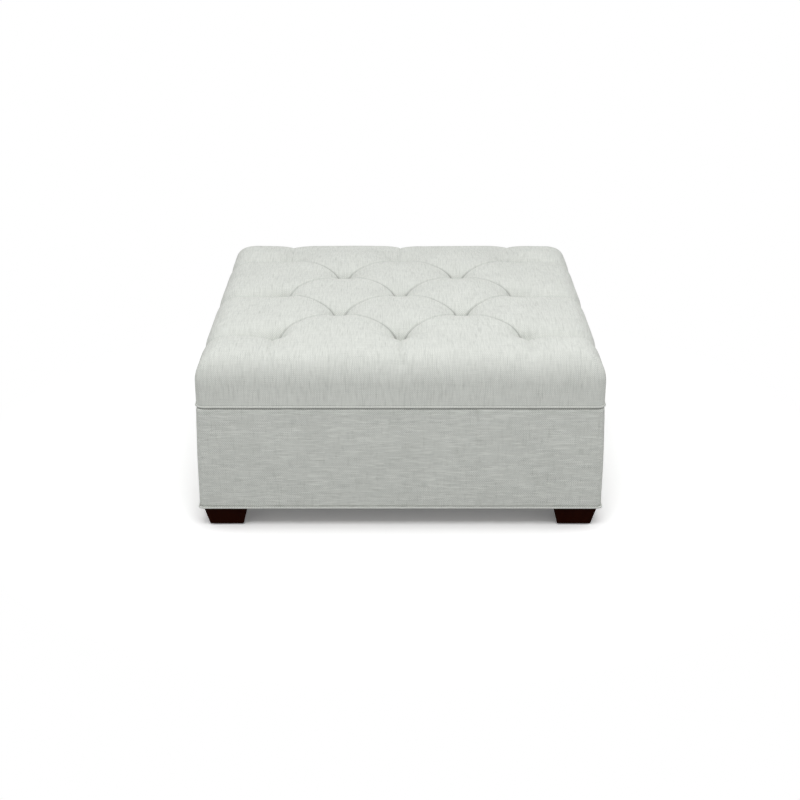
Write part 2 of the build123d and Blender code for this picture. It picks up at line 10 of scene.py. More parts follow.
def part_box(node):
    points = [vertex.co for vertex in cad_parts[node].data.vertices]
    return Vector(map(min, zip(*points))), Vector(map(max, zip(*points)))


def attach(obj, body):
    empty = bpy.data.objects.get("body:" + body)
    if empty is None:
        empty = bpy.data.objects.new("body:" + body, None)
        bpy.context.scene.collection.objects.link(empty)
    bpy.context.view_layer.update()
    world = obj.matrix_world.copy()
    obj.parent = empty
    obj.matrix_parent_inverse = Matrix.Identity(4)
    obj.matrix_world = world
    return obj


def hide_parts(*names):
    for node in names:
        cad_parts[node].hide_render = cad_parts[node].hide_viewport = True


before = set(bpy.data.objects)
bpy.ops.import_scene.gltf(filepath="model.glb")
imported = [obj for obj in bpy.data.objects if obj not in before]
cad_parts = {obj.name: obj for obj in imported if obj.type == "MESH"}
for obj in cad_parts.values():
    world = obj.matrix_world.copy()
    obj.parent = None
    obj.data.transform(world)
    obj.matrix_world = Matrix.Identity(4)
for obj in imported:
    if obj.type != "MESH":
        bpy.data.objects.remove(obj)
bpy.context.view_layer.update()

bl_info = {
    "name": "Tufted storage ottoman",
    "version": (1, 0, 0),
    "blender": (4, 5, 0),
    "location": "View3D > Sidebar > Ottoman",
    "description": "Dresses a square storage ottoman: tufted lid, covered box, feet, hinge and gas stays",
    "category": "Object",
}

# Places read from the frame, in metres
BOX_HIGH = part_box("box_cover")[1]
BUTTON_LOW, BUTTON_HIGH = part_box("tuft_buttons")
WELT_LOW, WELT_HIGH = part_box("lid_welt")
BOX_WELT_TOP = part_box("box_welt")[1][2]
PANEL_FACE = -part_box("left_panel")[0][0]
DECK_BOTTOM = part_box("lid_deck")[0][2]
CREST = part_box("lid_cover")[1][2]

HALF_BOX = BOX_HIGH[0]
BOX_TOP = BOX_HIGH[2]
WELT_LEVEL = (WELT_LOW[2] + WELT_HIGH[2]) / 2
WELT_RADIUS = (WELT_HIGH[2] - WELT_LOW[2]) / 2
SEAM_HALF = WELT_HIGH[0] - WELT_RADIUS

# The tufts: a grid of nine with four more between them
TUFT_PITCH = 0.16 * 2 * HALF_BOX
TUFT_FLOOR = BUTTON_LOW[2]
TUFT_DEPTH = CREST - TUFT_FLOOR
BUTTON_RADIUS = BUTTON_HIGH[0] - 2 * TUFT_PITCH
OUTER_TUFTS = [(2 * i * TUFT_PITCH, 2 * j * TUFT_PITCH) for i in (-1, 0, 1) for j in (-1, 0, 1)]
INNER_TUFTS = [(i * TUFT_PITCH, j * TUFT_PITCH) for i in (-1, 1) for j in (-1, 1)]
TUFTS = OUTER_TUFTS + INNER_TUFTS

LID_BODY = "lid"
BOX_BODY = "base"


# Settings that a user would change
class FabricSettings(bpy.types.PropertyGroup):
    light_thread: FloatVectorProperty(
        name="Light thread", description="Colour of the paler yarn", subtype="COLOR",
        default=(0.790, 0.809, 0.766), min=0, max=1)
    dark_thread: FloatVectorProperty(
        name="Dark thread", description="Colour of the greyer yarn in the heather", subtype="COLOR",
        default=(0.530, 0.549, 0.513), min=0, max=1)
    thread_pitch: FloatProperty(
        name="Thread pitch", description="Distance between neighbouring yarns", subtype="DISTANCE",
        default=0.0024, min=0.0004)
    thread_contrast: FloatProperty(
        name="Thread contrast", description="Difference in shade between warp and weft", default=1.0)
    streak_length: FloatProperty(
        name="Streak length", description="Length over which one yarn keeps its shade", subtype="DISTANCE",
        default=0.035, min=0.002)


class TopSettings(bpy.types.PropertyGroup):
    cells_per_pitch: IntProperty(
        name="Cells per tuft pitch", description="Fineness of the lid's cloth; an even number",
        default=40, min=8)
    pleat_depth: FloatProperty(
        name="Pleat depth", description="Depth of a pleat below the pillows beside it", subtype="DISTANCE",
        default=0.0045)
    pleat_width: FloatProperty(
        name="Pleat width", description="Width over which a pillow rounds down to a pleat",
        subtype="DISTANCE", default=0.034)
    valley_depth: FloatProperty(
        name="Valley depth", description="Depth of the soft valleys from the outer tufts to the edges",
        subtype="DISTANCE", default=0.022)
    valley_width: FloatProperty(
        name="Valley width", description="Half width of the soft valleys", subtype="DISTANCE", default=0.066)
    fold_depth: FloatProperty(
        name="Fold depth", description="Depth of the tight fold along a pleat", subtype="DISTANCE",
        default=0.003)
    fold_width: FloatProperty(
        name="Fold width", description="Half width of the tight fold", subtype="DISTANCE", default=0.0045)
    fold_run: FloatProperty(
        name="Fold run", description="Length over which the tight fold eases off from a tuft",
        subtype="DISTANCE", default=0.060)
    funnel_depth: FloatProperty(
        name="Funnel depth", description="Depth to which the pillows fall towards a button",
        subtype="DISTANCE", default=0.046)
    funnel_run: FloatProperty(
        name="Funnel run", description="Distance over which the pillows rise from a button",
        subtype="DISTANCE", default=0.032)
    crown: FloatProperty(
        name="Crown", description="Rise of the middle pillows over the outer ones", subtype="DISTANCE",
        default=0.002)
    edge_fall: FloatProperty(
        name="Edge fall", description="How far the outer pillows lie under the middle ones",
        subtype="DISTANCE", default=0.012)


class BoxSettings(bpy.types.PropertyGroup):
    cell: FloatProperty(
        name="Cell", description="Size of the box cover's mesh cells", subtype="DISTANCE", default=0.006)
    softness: FloatProperty(
        name="Softness", description="Swell of the padding towards the box's bottom", subtype="DISTANCE",
        default=0.0038)
    rim_swell: FloatProperty(
        name="Rim swell", description="How far the padded rim stands up towards the lid", subtype="DISTANCE",
        default=0.0020)
    corner_pinch: FloatProperty(
        name="Corner pinch", description="How far the rim's corners are drawn in", subtype="DISTANCE",
        default=0.0026)


class WoodSettings(bpy.types.PropertyGroup):
    stain: FloatVectorProperty(
        name="Stain", description="Colour of the stained feet", subtype="COLOR",
        default=(0.0125, 0.0014, 0.0001), min=0, max=1)
    grain: FloatVectorProperty(
        name="Grain", description="Colour of the paler grain under the stain", subtype="COLOR",
        default=(0.0240, 0.0040, 0.0010), min=0, max=1)


class StageSettings(bpy.types.PropertyGroup):
    camera_distance: FloatProperty(
        name="Camera distance", description="From the middle of the ottoman to the camera, level",
        subtype="DISTANCE", default=3.80)
    camera_height: FloatProperty(
        name="Camera height", description="Height of the lens over the floor", subtype="DISTANCE",
        default=1.693)
    camera_pitch: FloatProperty(
        name="Camera pitch", description="How far the camera looks down", subtype="ANGLE",
        default=math.radians(22.15))
    lens: FloatProperty(name="Lens", description="Focal length in millimetres", default=65.48)
    sky: FloatProperty(name="Sky", description="Strength of the even light from all round", default=0.48)
    top_light: FloatProperty(
        name="Top light", description="Power of the soft light overhead, in watts", default=13.5)
    side_light: FloatProperty(
        name="Side lights", description="Power of each soft light at the sides, in watts", default=9)
    front_light: FloatProperty(
        name="Front light", description="Power of the soft light in front, in watts", default=57)
    back_light: FloatProperty(
        name="Back light", description="Power of the soft light behind, in watts", default=4)
    floor_white: FloatProperty(
        name="Floor white", description="How white the floor looks to the camera for the light it gets",
        default=1.2)
    floor_lift: FloatProperty(
        name="Floor lift", description="How far the floor's shadow is lifted towards white", default=0.12)
    floor_bounce: FloatProperty(
        name="Floor bounce", description="How much light the floor throws back on the ottoman", default=0.50)


class OttomanSettings(bpy.types.PropertyGroup):
    fabric: PointerProperty(type=FabricSettings)
    top: PointerProperty(type=TopSettings)
    box: PointerProperty(type=BoxSettings)
    wood: PointerProperty(type=WoodSettings)
    stage: PointerProperty(type=StageSettings)


# Helpers for shader nodes
def place(tree, kind, inputs=None, **settings):
    """Add a node, with its settings and its unlinked inputs by name or number."""
    new = tree.nodes.new(kind)
    for key, value in settings.items():
        setattr(new, key, value)
    for key, value in (inputs or {}).items():
        if isinstance(value, bpy.types.NodeSocket):
            tree.links.new(value, new.inputs[key])
        else:
            new.inputs[key].default_value = value
    return new


def calculate(tree, operation, first, second, clamp=False):
    """A Math node's result."""
    new = place(tree, "ShaderNodeMath", {0: first, 1: second}, operation=operation, use_clamp=clamp)
    return new.outputs[0]


def add(tree, first, second, clamp=False):
    return calculate(tree, "ADD", first, second, clamp)


def minus(tree, first, second):
    return calculate(tree, "SUBTRACT", first, second)


def times(tree, first, second):
    return calculate(tree, "MULTIPLY", first, second)


def noise_at(tree, vector, scale, detail):
    """A Noise Texture's value."""
    inputs = {"Vector": vector, "Scale": scale, "Detail": detail}
    return place(tree, "ShaderNodeTexNoise", inputs).outputs["Fac"]


def bump_from(tree, height, strength, distance):
    """A Bump node's normal."""
    inputs = {"Height": height, "Strength": strength, "Distance": distance}
    return place(tree, "ShaderNodeBump", inputs).outputs[0]


def mix_colour(tree, factor, first, second):
    """A colour between two others."""
    new = place(tree, "ShaderNodeMix", {0: factor, 6: first, 7: second}, data_type="RGBA")
    return new.outputs[2]


def new_group(name, inputs, outputs):
    """An empty shader group with named sockets: (name, kind, default)."""
    tree = bpy.data.node_groups.new(name, "ShaderNodeTree")
    for label, kind, default in inputs:
        socket = tree.interface.new_socket(name=label, in_out="INPUT", socket_type="NodeSocket" + kind)
        if default is not None:
            socket.default_value = default
    for label, kind in outputs:
        tree.interface.new_socket(name=label, in_out="OUTPUT", socket_type="NodeSocket" + kind)
    return tree, tree.nodes.new("NodeGroupInput").outputs, tree.nodes.new("NodeGroupOutput").inputs


def streak_noise(tree, along, across, seed):
    """Noise that keeps its value along one way and changes from thread to thread."""
    vector = place(tree, "ShaderNodeCombineXYZ", {0: along, 1: across, 2: seed}).outputs[0]
    return noise_at(tree, vector, 1.0, 1.0)


def yarn_shade(tree, along, number, seed, even, dark):
    """One set of yarns: even heather along each, with darker slubs here and there."""
    tone = streak_noise(tree, along, times(tree, number, 0.83), seed)
    heather = times(tree, minus(tree, tone, 0.5), even)
    slub = streak_noise(tree, along, times(tree, number, 0.71), seed + 29.3)
    slub = place(tree, "ShaderNodeMapRange", {0: slub, 1: 0.56, 2: 0.74}).outputs[0]
    return minus(tree, heather, times(tree, slub, dark))


def weave_group():
    """Plain weave of heathered yarns: shade and height from coordinates in metres."""
    if "Weave" in bpy.data.node_groups:
        return bpy.data.node_groups["Weave"]
    tree, given, out = new_group(
        "Weave",
        [("Vector", "Vector", None), ("Pitch", "Float", 0.0024), ("Streak", "Float", 0.035),
         ("Contrast", "Float", 0.5), ("Warp heather", "Float", 0.5), ("Weft heather", "Float", 0.5),
         ("Warp slubs", "Float", 0.5), ("Weft slubs", "Float", 0.5), ("Light", "Color", None),
         ("Dark", "Color", None)],
        [("Color", "Color"), ("Height", "Float"), ("Shade", "Float")])
    parts = place(tree, "ShaderNodeSeparateXYZ", {0: given["Vector"]}).outputs
    u, v = [calculate(tree, "DIVIDE", part, given["Pitch"]) for part in parts[:2]]
    u_long, v_long = [calculate(tree, "DIVIDE", part, given["Streak"]) for part in parts[:2]]
    column = calculate(tree, "FLOOR", u, 0.0)
    row = calculate(tree, "FLOOR", v, 0.0)
    warp = yarn_shade(tree, v_long, column, 3.1, given["Warp heather"], given["Warp slubs"])
    weft = yarn_shade(tree, u_long, row, 17.4, given["Weft heather"], given["Weft slubs"])
    # Which yarn lies on top: the plain weave's checkerboard
    on_top = calculate(tree, "PINGPONG", add(tree, column, row), 1.0)
    share = times(tree, on_top, 0.75)
    over = times(tree, warp, add(tree, 0.25, share))
    under = times(tree, weft, minus(tree, 1.0, share))
    checks = times(tree, minus(tree, on_top, 0.5), given["Contrast"])
    shade = add(tree, add(tree, add(tree, over, under), checks), 0.60, clamp=True)
    # Round yarns: a ridge along each, high where it lies on top
    ridge_u, ridge_v = [
        calculate(tree, "SINE", times(tree, calculate(tree, "FRACT", way, 0.0), math.pi), 0.0)
        for way in (u, v)]
    height = add(tree, times(tree, ridge_u, on_top), times(tree, ridge_v, minus(tree, 1.0, on_top)))
    tree.links.new(mix_colour(tree, shade, given["Dark"], given["Light"]), out["Color"])
    tree.links.new(height, out["Height"])
    tree.links.new(shade, out["Shade"])
    return tree


def new_material(name, kind="Object"):
    """A material with its tree, its shader's inputs and the coordinates that its pattern reads."""
    material = bpy.data.materials.new(name)
    material.use_nodes = True
    tree = material.node_tree
    coords = place(tree, "ShaderNodeTexCoord").outputs[kind]
    return material, tree, tree.nodes["Principled BSDF"].inputs, coords


def finish_material(tree, shader, colour, rough, normal):
    """Link a shader's colour, roughness and normal."""
    for name, value in (("Base Color", colour), ("Roughness", rough), ("Normal", normal)):
        tree.links.new(value, shader[name])


def fabric_material(name, settings, warp, weft, checks=1.0, kind="UV", tint=(1, 1, 1), crease=0.0):
    """The cover's cloth; warp and weft each have (heather, slubs), the contrast along their yarns."""
    material, tree, shader, coords = new_material(name, kind)
    weave = place(tree, "ShaderNodeGroup", {
        "Vector": coords, "Pitch": settings.thread_pitch, "Streak": settings.streak_length,
        "Contrast": settings.thread_contrast * checks, "Warp heather": warp[0], "Weft heather": weft[0],
        "Warp slubs": warp[1], "Weft slubs": weft[1],
        "Light": [*(a * b for a, b in zip(settings.light_thread, tint)), 1],
        "Dark": [*(a * b for a, b in zip(settings.dark_thread, tint)), 1]}, node_tree=weave_group()).outputs
    # Broad, faint unevenness of dye and nap
    cloud = noise_at(tree, coords, 9.0, 3.0)
    value = add(tree, 1.0, times(tree, minus(tree, cloud, 0.5), 0.12))
    # Painted shade: darker along the pleats' folds and towards the buttons, where the tufts lie in shade
    if crease:
        folds = place(tree, "ShaderNodeAttribute", attribute_name="crease").outputs["Fac"]
        value = minus(tree, value, times(tree, folds, crease))
    colour = place(tree, "ShaderNodeHueSaturation", {"Color": weave["Color"], "Value": value}).outputs[0]
    rough = minus(tree, 0.96, times(tree, weave["Shade"], 0.08))
    normal = bump_from(tree, weave["Height"], 0.35, settings.thread_pitch * 0.25)
    finish_material(tree, shader, colour, rough, normal)
    shader["Specular IOR Level"].default_value = 0.25
    shader["Sheen Weight"].default_value = 0.08
    shader["Sheen Roughness"].default_value = 0.6
    return material


def add_piece(name, bm, material, body, smooth=True):
    """Make an object of a finished bmesh and let it ride."""
    mesh = bpy.data.meshes.new(name)
    bm.to_mesh(mesh)
    bm.free()
    if smooth:
        mesh.polygons.foreach_set("use_smooth", [True] * len(mesh.polygons))
    piece = bpy.data.objects.new(name, mesh)
    bpy.context.scene.collection.objects.link(piece)
    mesh.materials.append(material)
    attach(piece, body)
    return piece


# Helpers for bmesh geometry
def whole(bm):
    """All of a bmesh's geometry."""
    return list(bm.verts) + list(bm.edges) + list(bm.faces)


def only(kind, geometry):
    """The vertices or the edges among an operator's results."""
    return [item for item in geometry if isinstance(item, kind)]


def turned(outline, steps):
    """A form turned about Z from its outline of (radius, level)."""
    bm = bmesh.new()
    ring = [bm.verts.new((radius, 0, level)) for radius, level in outline]
    edges = [bm.edges.new(pair) for pair in zip(ring, ring[1:])]
    bmesh.ops.spin(bm, geom=ring + edges, cent=(0, 0, 0), axis=(0, 0, 1), angle=2 * math.pi, steps=steps,
                   use_merge=True)
    bmesh.ops.remove_doubles(bm, verts=bm.verts, dist=0.00002)
    return bm


def repeat_at(bm, spots):
    """Move copies of a bmesh's geometry to several spots, in place of the first."""
    source = whole(bm)
    for spot in spots:
        copy = bmesh.ops.duplicate(bm, geom=source)["geom"]
        bmesh.ops.translate(bm, verts=only(bmesh.types.BMVert, copy), vec=spot)
    bmesh.ops.delete(bm, geom=only(bmesh.types.BMVert, source), context="VERTS")
    bmesh.ops.recalc_face_normals(bm, faces=bm.faces)


def cloth_copy(node, spacing):
    """A merged copy of a CAD node's mesh, cut into cells for folds and sag."""
    bm = bmesh.new()
    bm.from_mesh(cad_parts[node].data)
    bmesh.ops.remove_doubles(bm, verts=bm.verts, dist=0.00001)
    bmesh.ops.dissolve_limit(bm, angle_limit=math.radians(1), verts=bm.verts, edges=bm.edges)
    low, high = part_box(node)
    for axis in range(3):
        count = int((high[axis] - low[axis]) / spacing)
        normal = Vector([float(axis == k) for k in range(3)])
        for number in range(1, count):
            spot = normal * (low[axis] + (high[axis] - low[axis]) * number / count)
            bmesh.ops.bisect_plane(bm, geom=whole(bm), dist=0.00001, plane_co=spot, plane_no=normal)
    bm.normal_update()
    return bm


# Helpers for cloth made as a grid of vertices
def smooth_step(value, low, high):
    """A smooth rise from 0 to 1 between two values."""
    t = np.clip((value - low) / (high - low), 0, 1)
    return t * t * (3 - 2 * t)


def set_places(mesh, places):
    """Move a mesh's vertices to an array of places."""
    mesh.vertices.foreach_set("co", np.ascontiguousarray(places, dtype=np.float32).ravel())
    mesh.update()


def get_places(mesh):
    """A mesh's vertices as an array."""
    places = np.empty(len(mesh.vertices) * 3, np.float32)
    mesh.vertices.foreach_get("co", places)
    return places.reshape(-1, 3).astype(float)


def get_normals(mesh):
    """A mesh's vertex normals as an array."""
    normals = np.empty(len(mesh.vertices) * 3, np.float32)
    mesh.vertex_normals.foreach_get("vector", normals)
    return normals.reshape(-1, 3).astype(float)


def loop_vertices(mesh):
    """The vertex of each face corner."""
    found = np.empty(len(mesh.loops), np.int32)
    mesh.loops.foreach_get("vertex_index", found)
    return found


def set_cloth_map(mesh, corner_places):
    """A UV map in metres of cloth, one place for each face corner."""
    layer = mesh.uv_layers.new(name="Cloth")
    layer.data.foreach_set("uv", np.ascontiguousarray(corner_places, dtype=np.float32).ravel())


def set_attribute(mesh, name, values):
    """A value on each vertex for a material to read."""
    attribute = mesh.attributes.new(name, "FLOAT", "POINT")
    attribute.data.foreach_set("value", np.ascontiguousarray(values, dtype=np.float32))


def unit_grid(columns, rows):
    """A flat grid's mesh, with the column and the row of each vertex."""
    bm = bmesh.new()
    bmesh.ops.create_grid(bm, x_segments=columns, y_segments=rows, size=0.5)
    mesh = bpy.data.meshes.new("cloth")
    bm.to_mesh(mesh)
    bm.free()
    share = get_places(mesh) + 0.5
    return mesh, np.rint(share[:, 0] * columns).astype(int), np.rint(share[:, 1] * rows).astype(int)


def take_mesh(mesh, merge=0.0):
    """A bmesh of a shaped grid, whose ends are merged where they meet."""
    bm = bmesh.new()
    bm.from_mesh(mesh)
    bpy.data.meshes.remove(mesh)
    if merge:
        bmesh.ops.remove_doubles(bm, verts=bm.verts, dist=merge)
        bmesh.ops.recalc_face_normals(bm, faces=bm.faces)
    return bm


def wander(places, scale, seed):
    """Smooth noise at each place, from about -1 to 1."""
    offset = Vector((seed * 3.7, seed * 1.9, seed * 2.3))
    return np.array([noise.noise(Vector(p) * scale + offset) for p in places])


def rounded_square(half, radius, share):
    """Across and along places on one side of a rounded square, evenly for shares from -1 to 1."""
    straight = half - radius
    length = straight + radius * math.pi / 4
    along = np.abs(share) * length
    angle = np.clip((along - straight) / np.maximum(radius, 1e-6), 0, math.pi / 4)
    at_corner = along > straight
    out = np.where(at_corner, straight + radius * np.cos(angle), half)
    side = np.where(at_corner, straight + radius * np.sin(angle), along)
    return out, side * np.sign(share), along * np.sign(share)


def turn_to_side(side, out, along):
    """Places on one side's own axes, turned to that side of the square."""
    angle = (side - 1) * math.pi / 2
    return out * np.cos(angle) - along * np.sin(angle), out * np.sin(angle) + along * np.cos(angle)


# The lid's upholstery, in metres
SEAM_CORNER_RADIUS = 0.022
# The shoulder between top and side: nearly an ellipse, whose power says how full it is
SHOULDER_HEIGHT = 0.074
SHOULDER_WIDTH = 0.062
SHOULDER_POWER = 0.97
# Points of the upright section over the flat top, and over the shoulder and the side each
TOP_POINTS = 60
TURN_POINTS = 40
# The hem reaches in under the welt, then turns in below the deck by a share of its width
HEM_OVERLAP = 0.003
HEM_GAP = 0.0004
HEM_SHARE = 0.985
# Distances from the middle over which the outer pillows fall, and over which the cloth turns to the side
EDGE_FALL_FROM, EDGE_FALL_TO = 0.30, 0.47
TURN_FROM, TURN_TO = 0.42, 0.52
# The grid is even up to here, so that the tufts lie on its vertices
EVEN_REACH = 0.4
# Over the last of its reach the cloth lies tight in the seam
SEAM_EASE_FROM, SEAM_EASE_TO = 0.030, 0.004
# An edge valley keeps its depth this far from its tuft, then eases off; the end ones are also shallower
SIDE_VALLEY_REACH = 0.15
END_VALLEY_REACH = 0.09
END_VALLEY_SHARE = 0.45
VALLEY_EASE = 0.15
# The side valleys are deeper by this share at their tuft, and each valley's fold runs on from it
SIDE_VALLEY_EXTRA = 0.7
SIDE_VALLEY_EXTRA_RUN = 0.07
VALLEY_FOLD_SHARE = 0.4
VALLEY_FOLD_RUN = 0.02
# The cloth falls steeply to a button's edge, and small folds run out in a ring round it
BUTTON_NECK_RUN = 0.005
PUCKER_RING = 0.022
PUCKER_RING_WIDTH = 0.016
PUCKER_HEIGHT = 0.0009
# Unevenness of the filling: (waves per metre, seed, height)
FILLING_WAVES = ((9.0, 1.0, 0.0016), (23.0, 2.0, 0.0006))


def lid_profile(settings):
    """The lid's upright section: reach over the cloth, distance from the middle and level."""
    flat_half = SEAM_HALF - SHOULDER_WIDTH
    turn = np.radians(np.linspace(90, 0, TURN_POINTS))[1:]
    middle = np.linspace(0, flat_half, TOP_POINTS)
    shoulder = SEAM_HALF - SHOULDER_WIDTH * (1 - np.cos(turn) ** SHOULDER_POWER)
    rounded = CREST - SHOULDER_HEIGHT * (1 - np.sin(turn) ** SHOULDER_POWER)
    top = np.concatenate([middle, shoulder])
    fall = settings.edge_fall * smooth_step(top, EDGE_FALL_FROM, EDGE_FALL_TO)
    side = np.linspace(0, 1, TURN_POINTS)[1:]
    side_top = CREST - settings.edge_fall - SHOULDER_HEIGHT
    side_foot = WELT_LEVEL + WELT_RADIUS * 0.6
    halves = np.concatenate([top, np.full(len(side), SEAM_HALF), [SEAM_HALF - HEM_OVERLAP]])
    levels = np.concatenate([
        np.concatenate([np.full(TOP_POINTS, CREST), rounded]) - fall,
        side_top + (side_foot - side_top) * side,
        [WELT_LEVEL]])
    steps = np.hypot(np.diff(halves), np.diff(levels))
    return np.concatenate([[0], np.cumsum(steps)]), halves, levels


def quarter_round(share):
    """A puffed pillow's fall beside a pleat: 1 at the pleat and 0 where the pillow is flat."""
    t = np.clip(share, 0, 1)
    return 1 - np.sqrt(1 - (1 - t) ** 2)


def hold_down(across, along, settings):
    """How far the stitches hold the cloth down at each place, in metres, and how tightly it folds there."""
    length = TUFT_PITCH * math.sqrt(2)
    groove = np.zeros_like(across)
    valley = np.zeros_like(across)
    fold = np.zeros_like(across)
    # Pleats on the slant between neighbouring tufts
    for i, j in INNER_TUFTS:
        for p, q in ((-1, -1), (-1, 1), (1, -1), (1, 1)):
            dx = (across - i) * p
            dy = (along - j) * q
            run = (dx + dy) / math.sqrt(2)
            beside = np.hypot((dx - dy) / math.sqrt(2), np.maximum(np.maximum(-run, run - length), 0))
            run = np.clip(run, 0, length)
            near = np.exp(-np.minimum(run, length - run) / settings.fold_run)
            groove += quarter_round(beside / settings.pleat_width) ** 4
            fold = np.maximum(fold, (0.25 + 0.75 * near) * np.clip(1 - beside / settings.fold_width, 0, 1))
    # Valleys straight out from the outer tufts, soft towards the front and back
    for i, j in OUTER_TUFTS:
        for out_x, out_y in ((1, 0), (-1, 0), (0, 1), (0, -1)):
            if i * out_x + j * out_y < TUFT_PITCH:
                continue
            run = (across - i) * out_x + (along - j) * out_y
            side = np.abs((across - i) * out_y + (along - j) * out_x)
            beside = np.hypot(side, np.maximum(-run, 0))
            run = np.maximum(run, 0)
            reach = SIDE_VALLEY_REACH if out_x else END_VALLEY_REACH
            fade = 1 - smooth_step(run, reach, reach + VALLEY_EASE)
            if out_x:
                fade *= 1 + SIDE_VALLEY_EXTRA * np.exp(-run / SIDE_VALLEY_EXTRA_RUN)
            else:
                fade *= END_VALLEY_SHARE
            valley = np.maximum(valley, fade * quarter_round(beside / settings.valley_width))
            tight = fade * VALLEY_FOLD_SHARE * np.exp(-run / VALLEY_FOLD_RUN)
            fold = np.maximum(fold, tight * np.clip(1 - beside / settings.fold_width, 0, 1))
    funnel = np.zeros_like(across)
    for i, j in TUFTS:
        distance = np.hypot(across - i, along - j)
        slope = settings.funnel_depth * np.exp(-distance / settings.funnel_run)
        beside = np.maximum(distance - BUTTON_RADIUS, 0)
        neck = (TUFT_DEPTH - settings.funnel_depth) * np.exp(-beside / BUTTON_NECK_RUN)
        funnel = np.maximum(funnel, slope + neck)
    depth = funnel + groove ** 0.25 * settings.pleat_depth + fold * settings.fold_depth
    depth += valley * settings.valley_depth * (1 - 0.6 * funnel / TUFT_DEPTH)
    return np.minimum(depth, TUFT_DEPTH), fold


def puckers(across, along):
    """Small folds that run out from each button, from -1 to 1."""
    total = np.zeros_like(across)
    for number, (i, j) in enumerate(TUFTS):
        distance = np.hypot(across - i, along - j)
        angle = np.arctan2(along - j, across - i)
        fade = np.exp(-((distance - PUCKER_RING) / PUCKER_RING_WIDTH) ** 2)
        ripple = np.sin(angle * 13 + number * 1.3) + 0.6 * np.sin(angle * 8 + number * 2.9)
        total += fade * ripple / 1.6
    return total


def split_along_pleats(bm):
    """Cut each cell of the lid's grid into triangles along the pleat that runs nearest to it."""
    rising, falling = [], []
    for face in bm.faces:
        centre = face.calc_center_median()
        up = abs(((centre.x - centre.y) / (2 * TUFT_PITCH) + 0.5) % 1 - 0.5)
        down = abs(((centre.x + centre.y) / (2 * TUFT_PITCH) + 0.5) % 1 - 0.5)
        first = face.verts[0].co
        third = face.verts[2].co
        runs_up = (first.x - third.x) * (first.y - third.y) > 0
        (rising if (up < down) == runs_up else falling).append(face)
    bmesh.ops.triangulate(bm, faces=rising, quad_method="FIXED")
    bmesh.ops.triangulate(bm, faces=falling, quad_method="ALTERNATE")


def build_lid_cloth(settings):
    """The tufted cloth as a fine mesh over the lid's form."""
    reach, halves, levels = lid_profile(settings)
    cell = TUFT_PITCH / settings.cells_per_pitch
    half_count = int(reach[-1] / cell)
    bm = bmesh.new()
    bmesh.ops.create_grid(bm, x_segments=2 * half_count, y_segments=2 * half_count, size=half_count * cell)
    split_along_pleats(bm)
    mesh = bpy.data.meshes.new("lid_cloth")
    bm.to_mesh(mesh)
    bm.free()
    flat = get_places(mesh)
    u, v = flat[:, 0], flat[:, 1]
    ring = np.maximum(np.abs(u), np.abs(v))
    # Keep the tufts on the grid; spread what is left over the outer rows
    grid_half = half_count * cell
    outer = (ring - EVEN_REACH) / (grid_half - EVEN_REACH)
    path = ring * np.where(ring > EVEN_REACH, 1 + (reach[-1] / grid_half - 1) * outer, 1)
    half = np.interp(path, reach, halves)
    level = np.interp(path, reach, levels)
    radius = SEAM_CORNER_RADIUS * smooth_step(half, 2 * TUFT_PITCH, SEAM_HALF - 0.5 * SHOULDER_WIDTH)
    on_side = np.abs(u) > np.abs(v)
    share = np.where(on_side, v, u) / np.maximum(ring, 1e-9)
    sign = np.where(on_side, np.sign(u), np.sign(v))
    out, along, cloth_along = rounded_square(half, radius, share)
    x = np.where(on_side, sign * out, along)
    y = np.where(on_side, along, sign * out)
    set_places(mesh, np.stack([x, y, level], axis=1))
    # The pattern's place of each vertex: level with the nearest side of the lid
    cloth_u = np.where(on_side, sign * path, cloth_along)
    cloth_v = np.where(on_side, cloth_along, sign * path)
    down, fold = hold_down(cloth_u, cloth_v, settings)
    left = 1 - down / TUFT_DEPTH
    on_top = 1 - smooth_step(path, TURN_FROM, TURN_TO)
    seam = 1 - smooth_step(path, reach[-1] - SEAM_EASE_FROM, reach[-1] - SEAM_EASE_TO)
    high = settings.crown * (1 - (path / reach[-1]) ** 2) * left
    places = get_places(mesh)
    uneven = sum(wander(places, scale, seed) * height for scale, seed, height in FILLING_WAVES)
    rise = (uneven * (0.35 + 0.65 * on_top) + high) * np.clip(left, 0, 1) * seam
    rise += puckers(cloth_u, cloth_v) * PUCKER_HEIGHT * on_top
    places += get_normals(mesh) * (rise - down * seam)[:, None]
    places[:, 2] = np.where(on_top > 0.99, np.maximum(places[:, 2], TUFT_FLOOR), places[:, 2])
    set_places(mesh, places)
    # Threads run straight over the edges, so a face takes its side's place on the pattern
    corners = loop_vertices(mesh)
    middle = np.abs(flat[corners.reshape(-1, 3)]).mean(axis=1)
    side_face = np.repeat(middle[:, 0] > middle[:, 1], 3)
    over_u, over_v = (np.sign(u) * path)[corners], (np.sign(v) * path)[corners]
    along_u = cloth_along_of(u, v, half, radius)[corners]
    along_v = cloth_along_of(v, u, half, radius)[corners]
    set_cloth_map(mesh, np.stack([
        np.where(side_face, over_u, along_u), np.where(side_face, along_v, over_v)], axis=1))
    # Painted shade for the cloth's colour: strongest in the tight folds and deeper towards the buttons
    set_attribute(mesh, "crease", np.clip(fold + 0.34 * (down / TUFT_DEPTH) ** 1.5, 0, 1))
    return mesh


def cloth_along_of(first, second, half, radius):
    """Distance along a side's cloth from the side's middle."""
    ring = np.maximum(np.abs(first), np.abs(second))
    return rounded_square(half, radius, first / np.maximum(ring, 1e-9))[2]


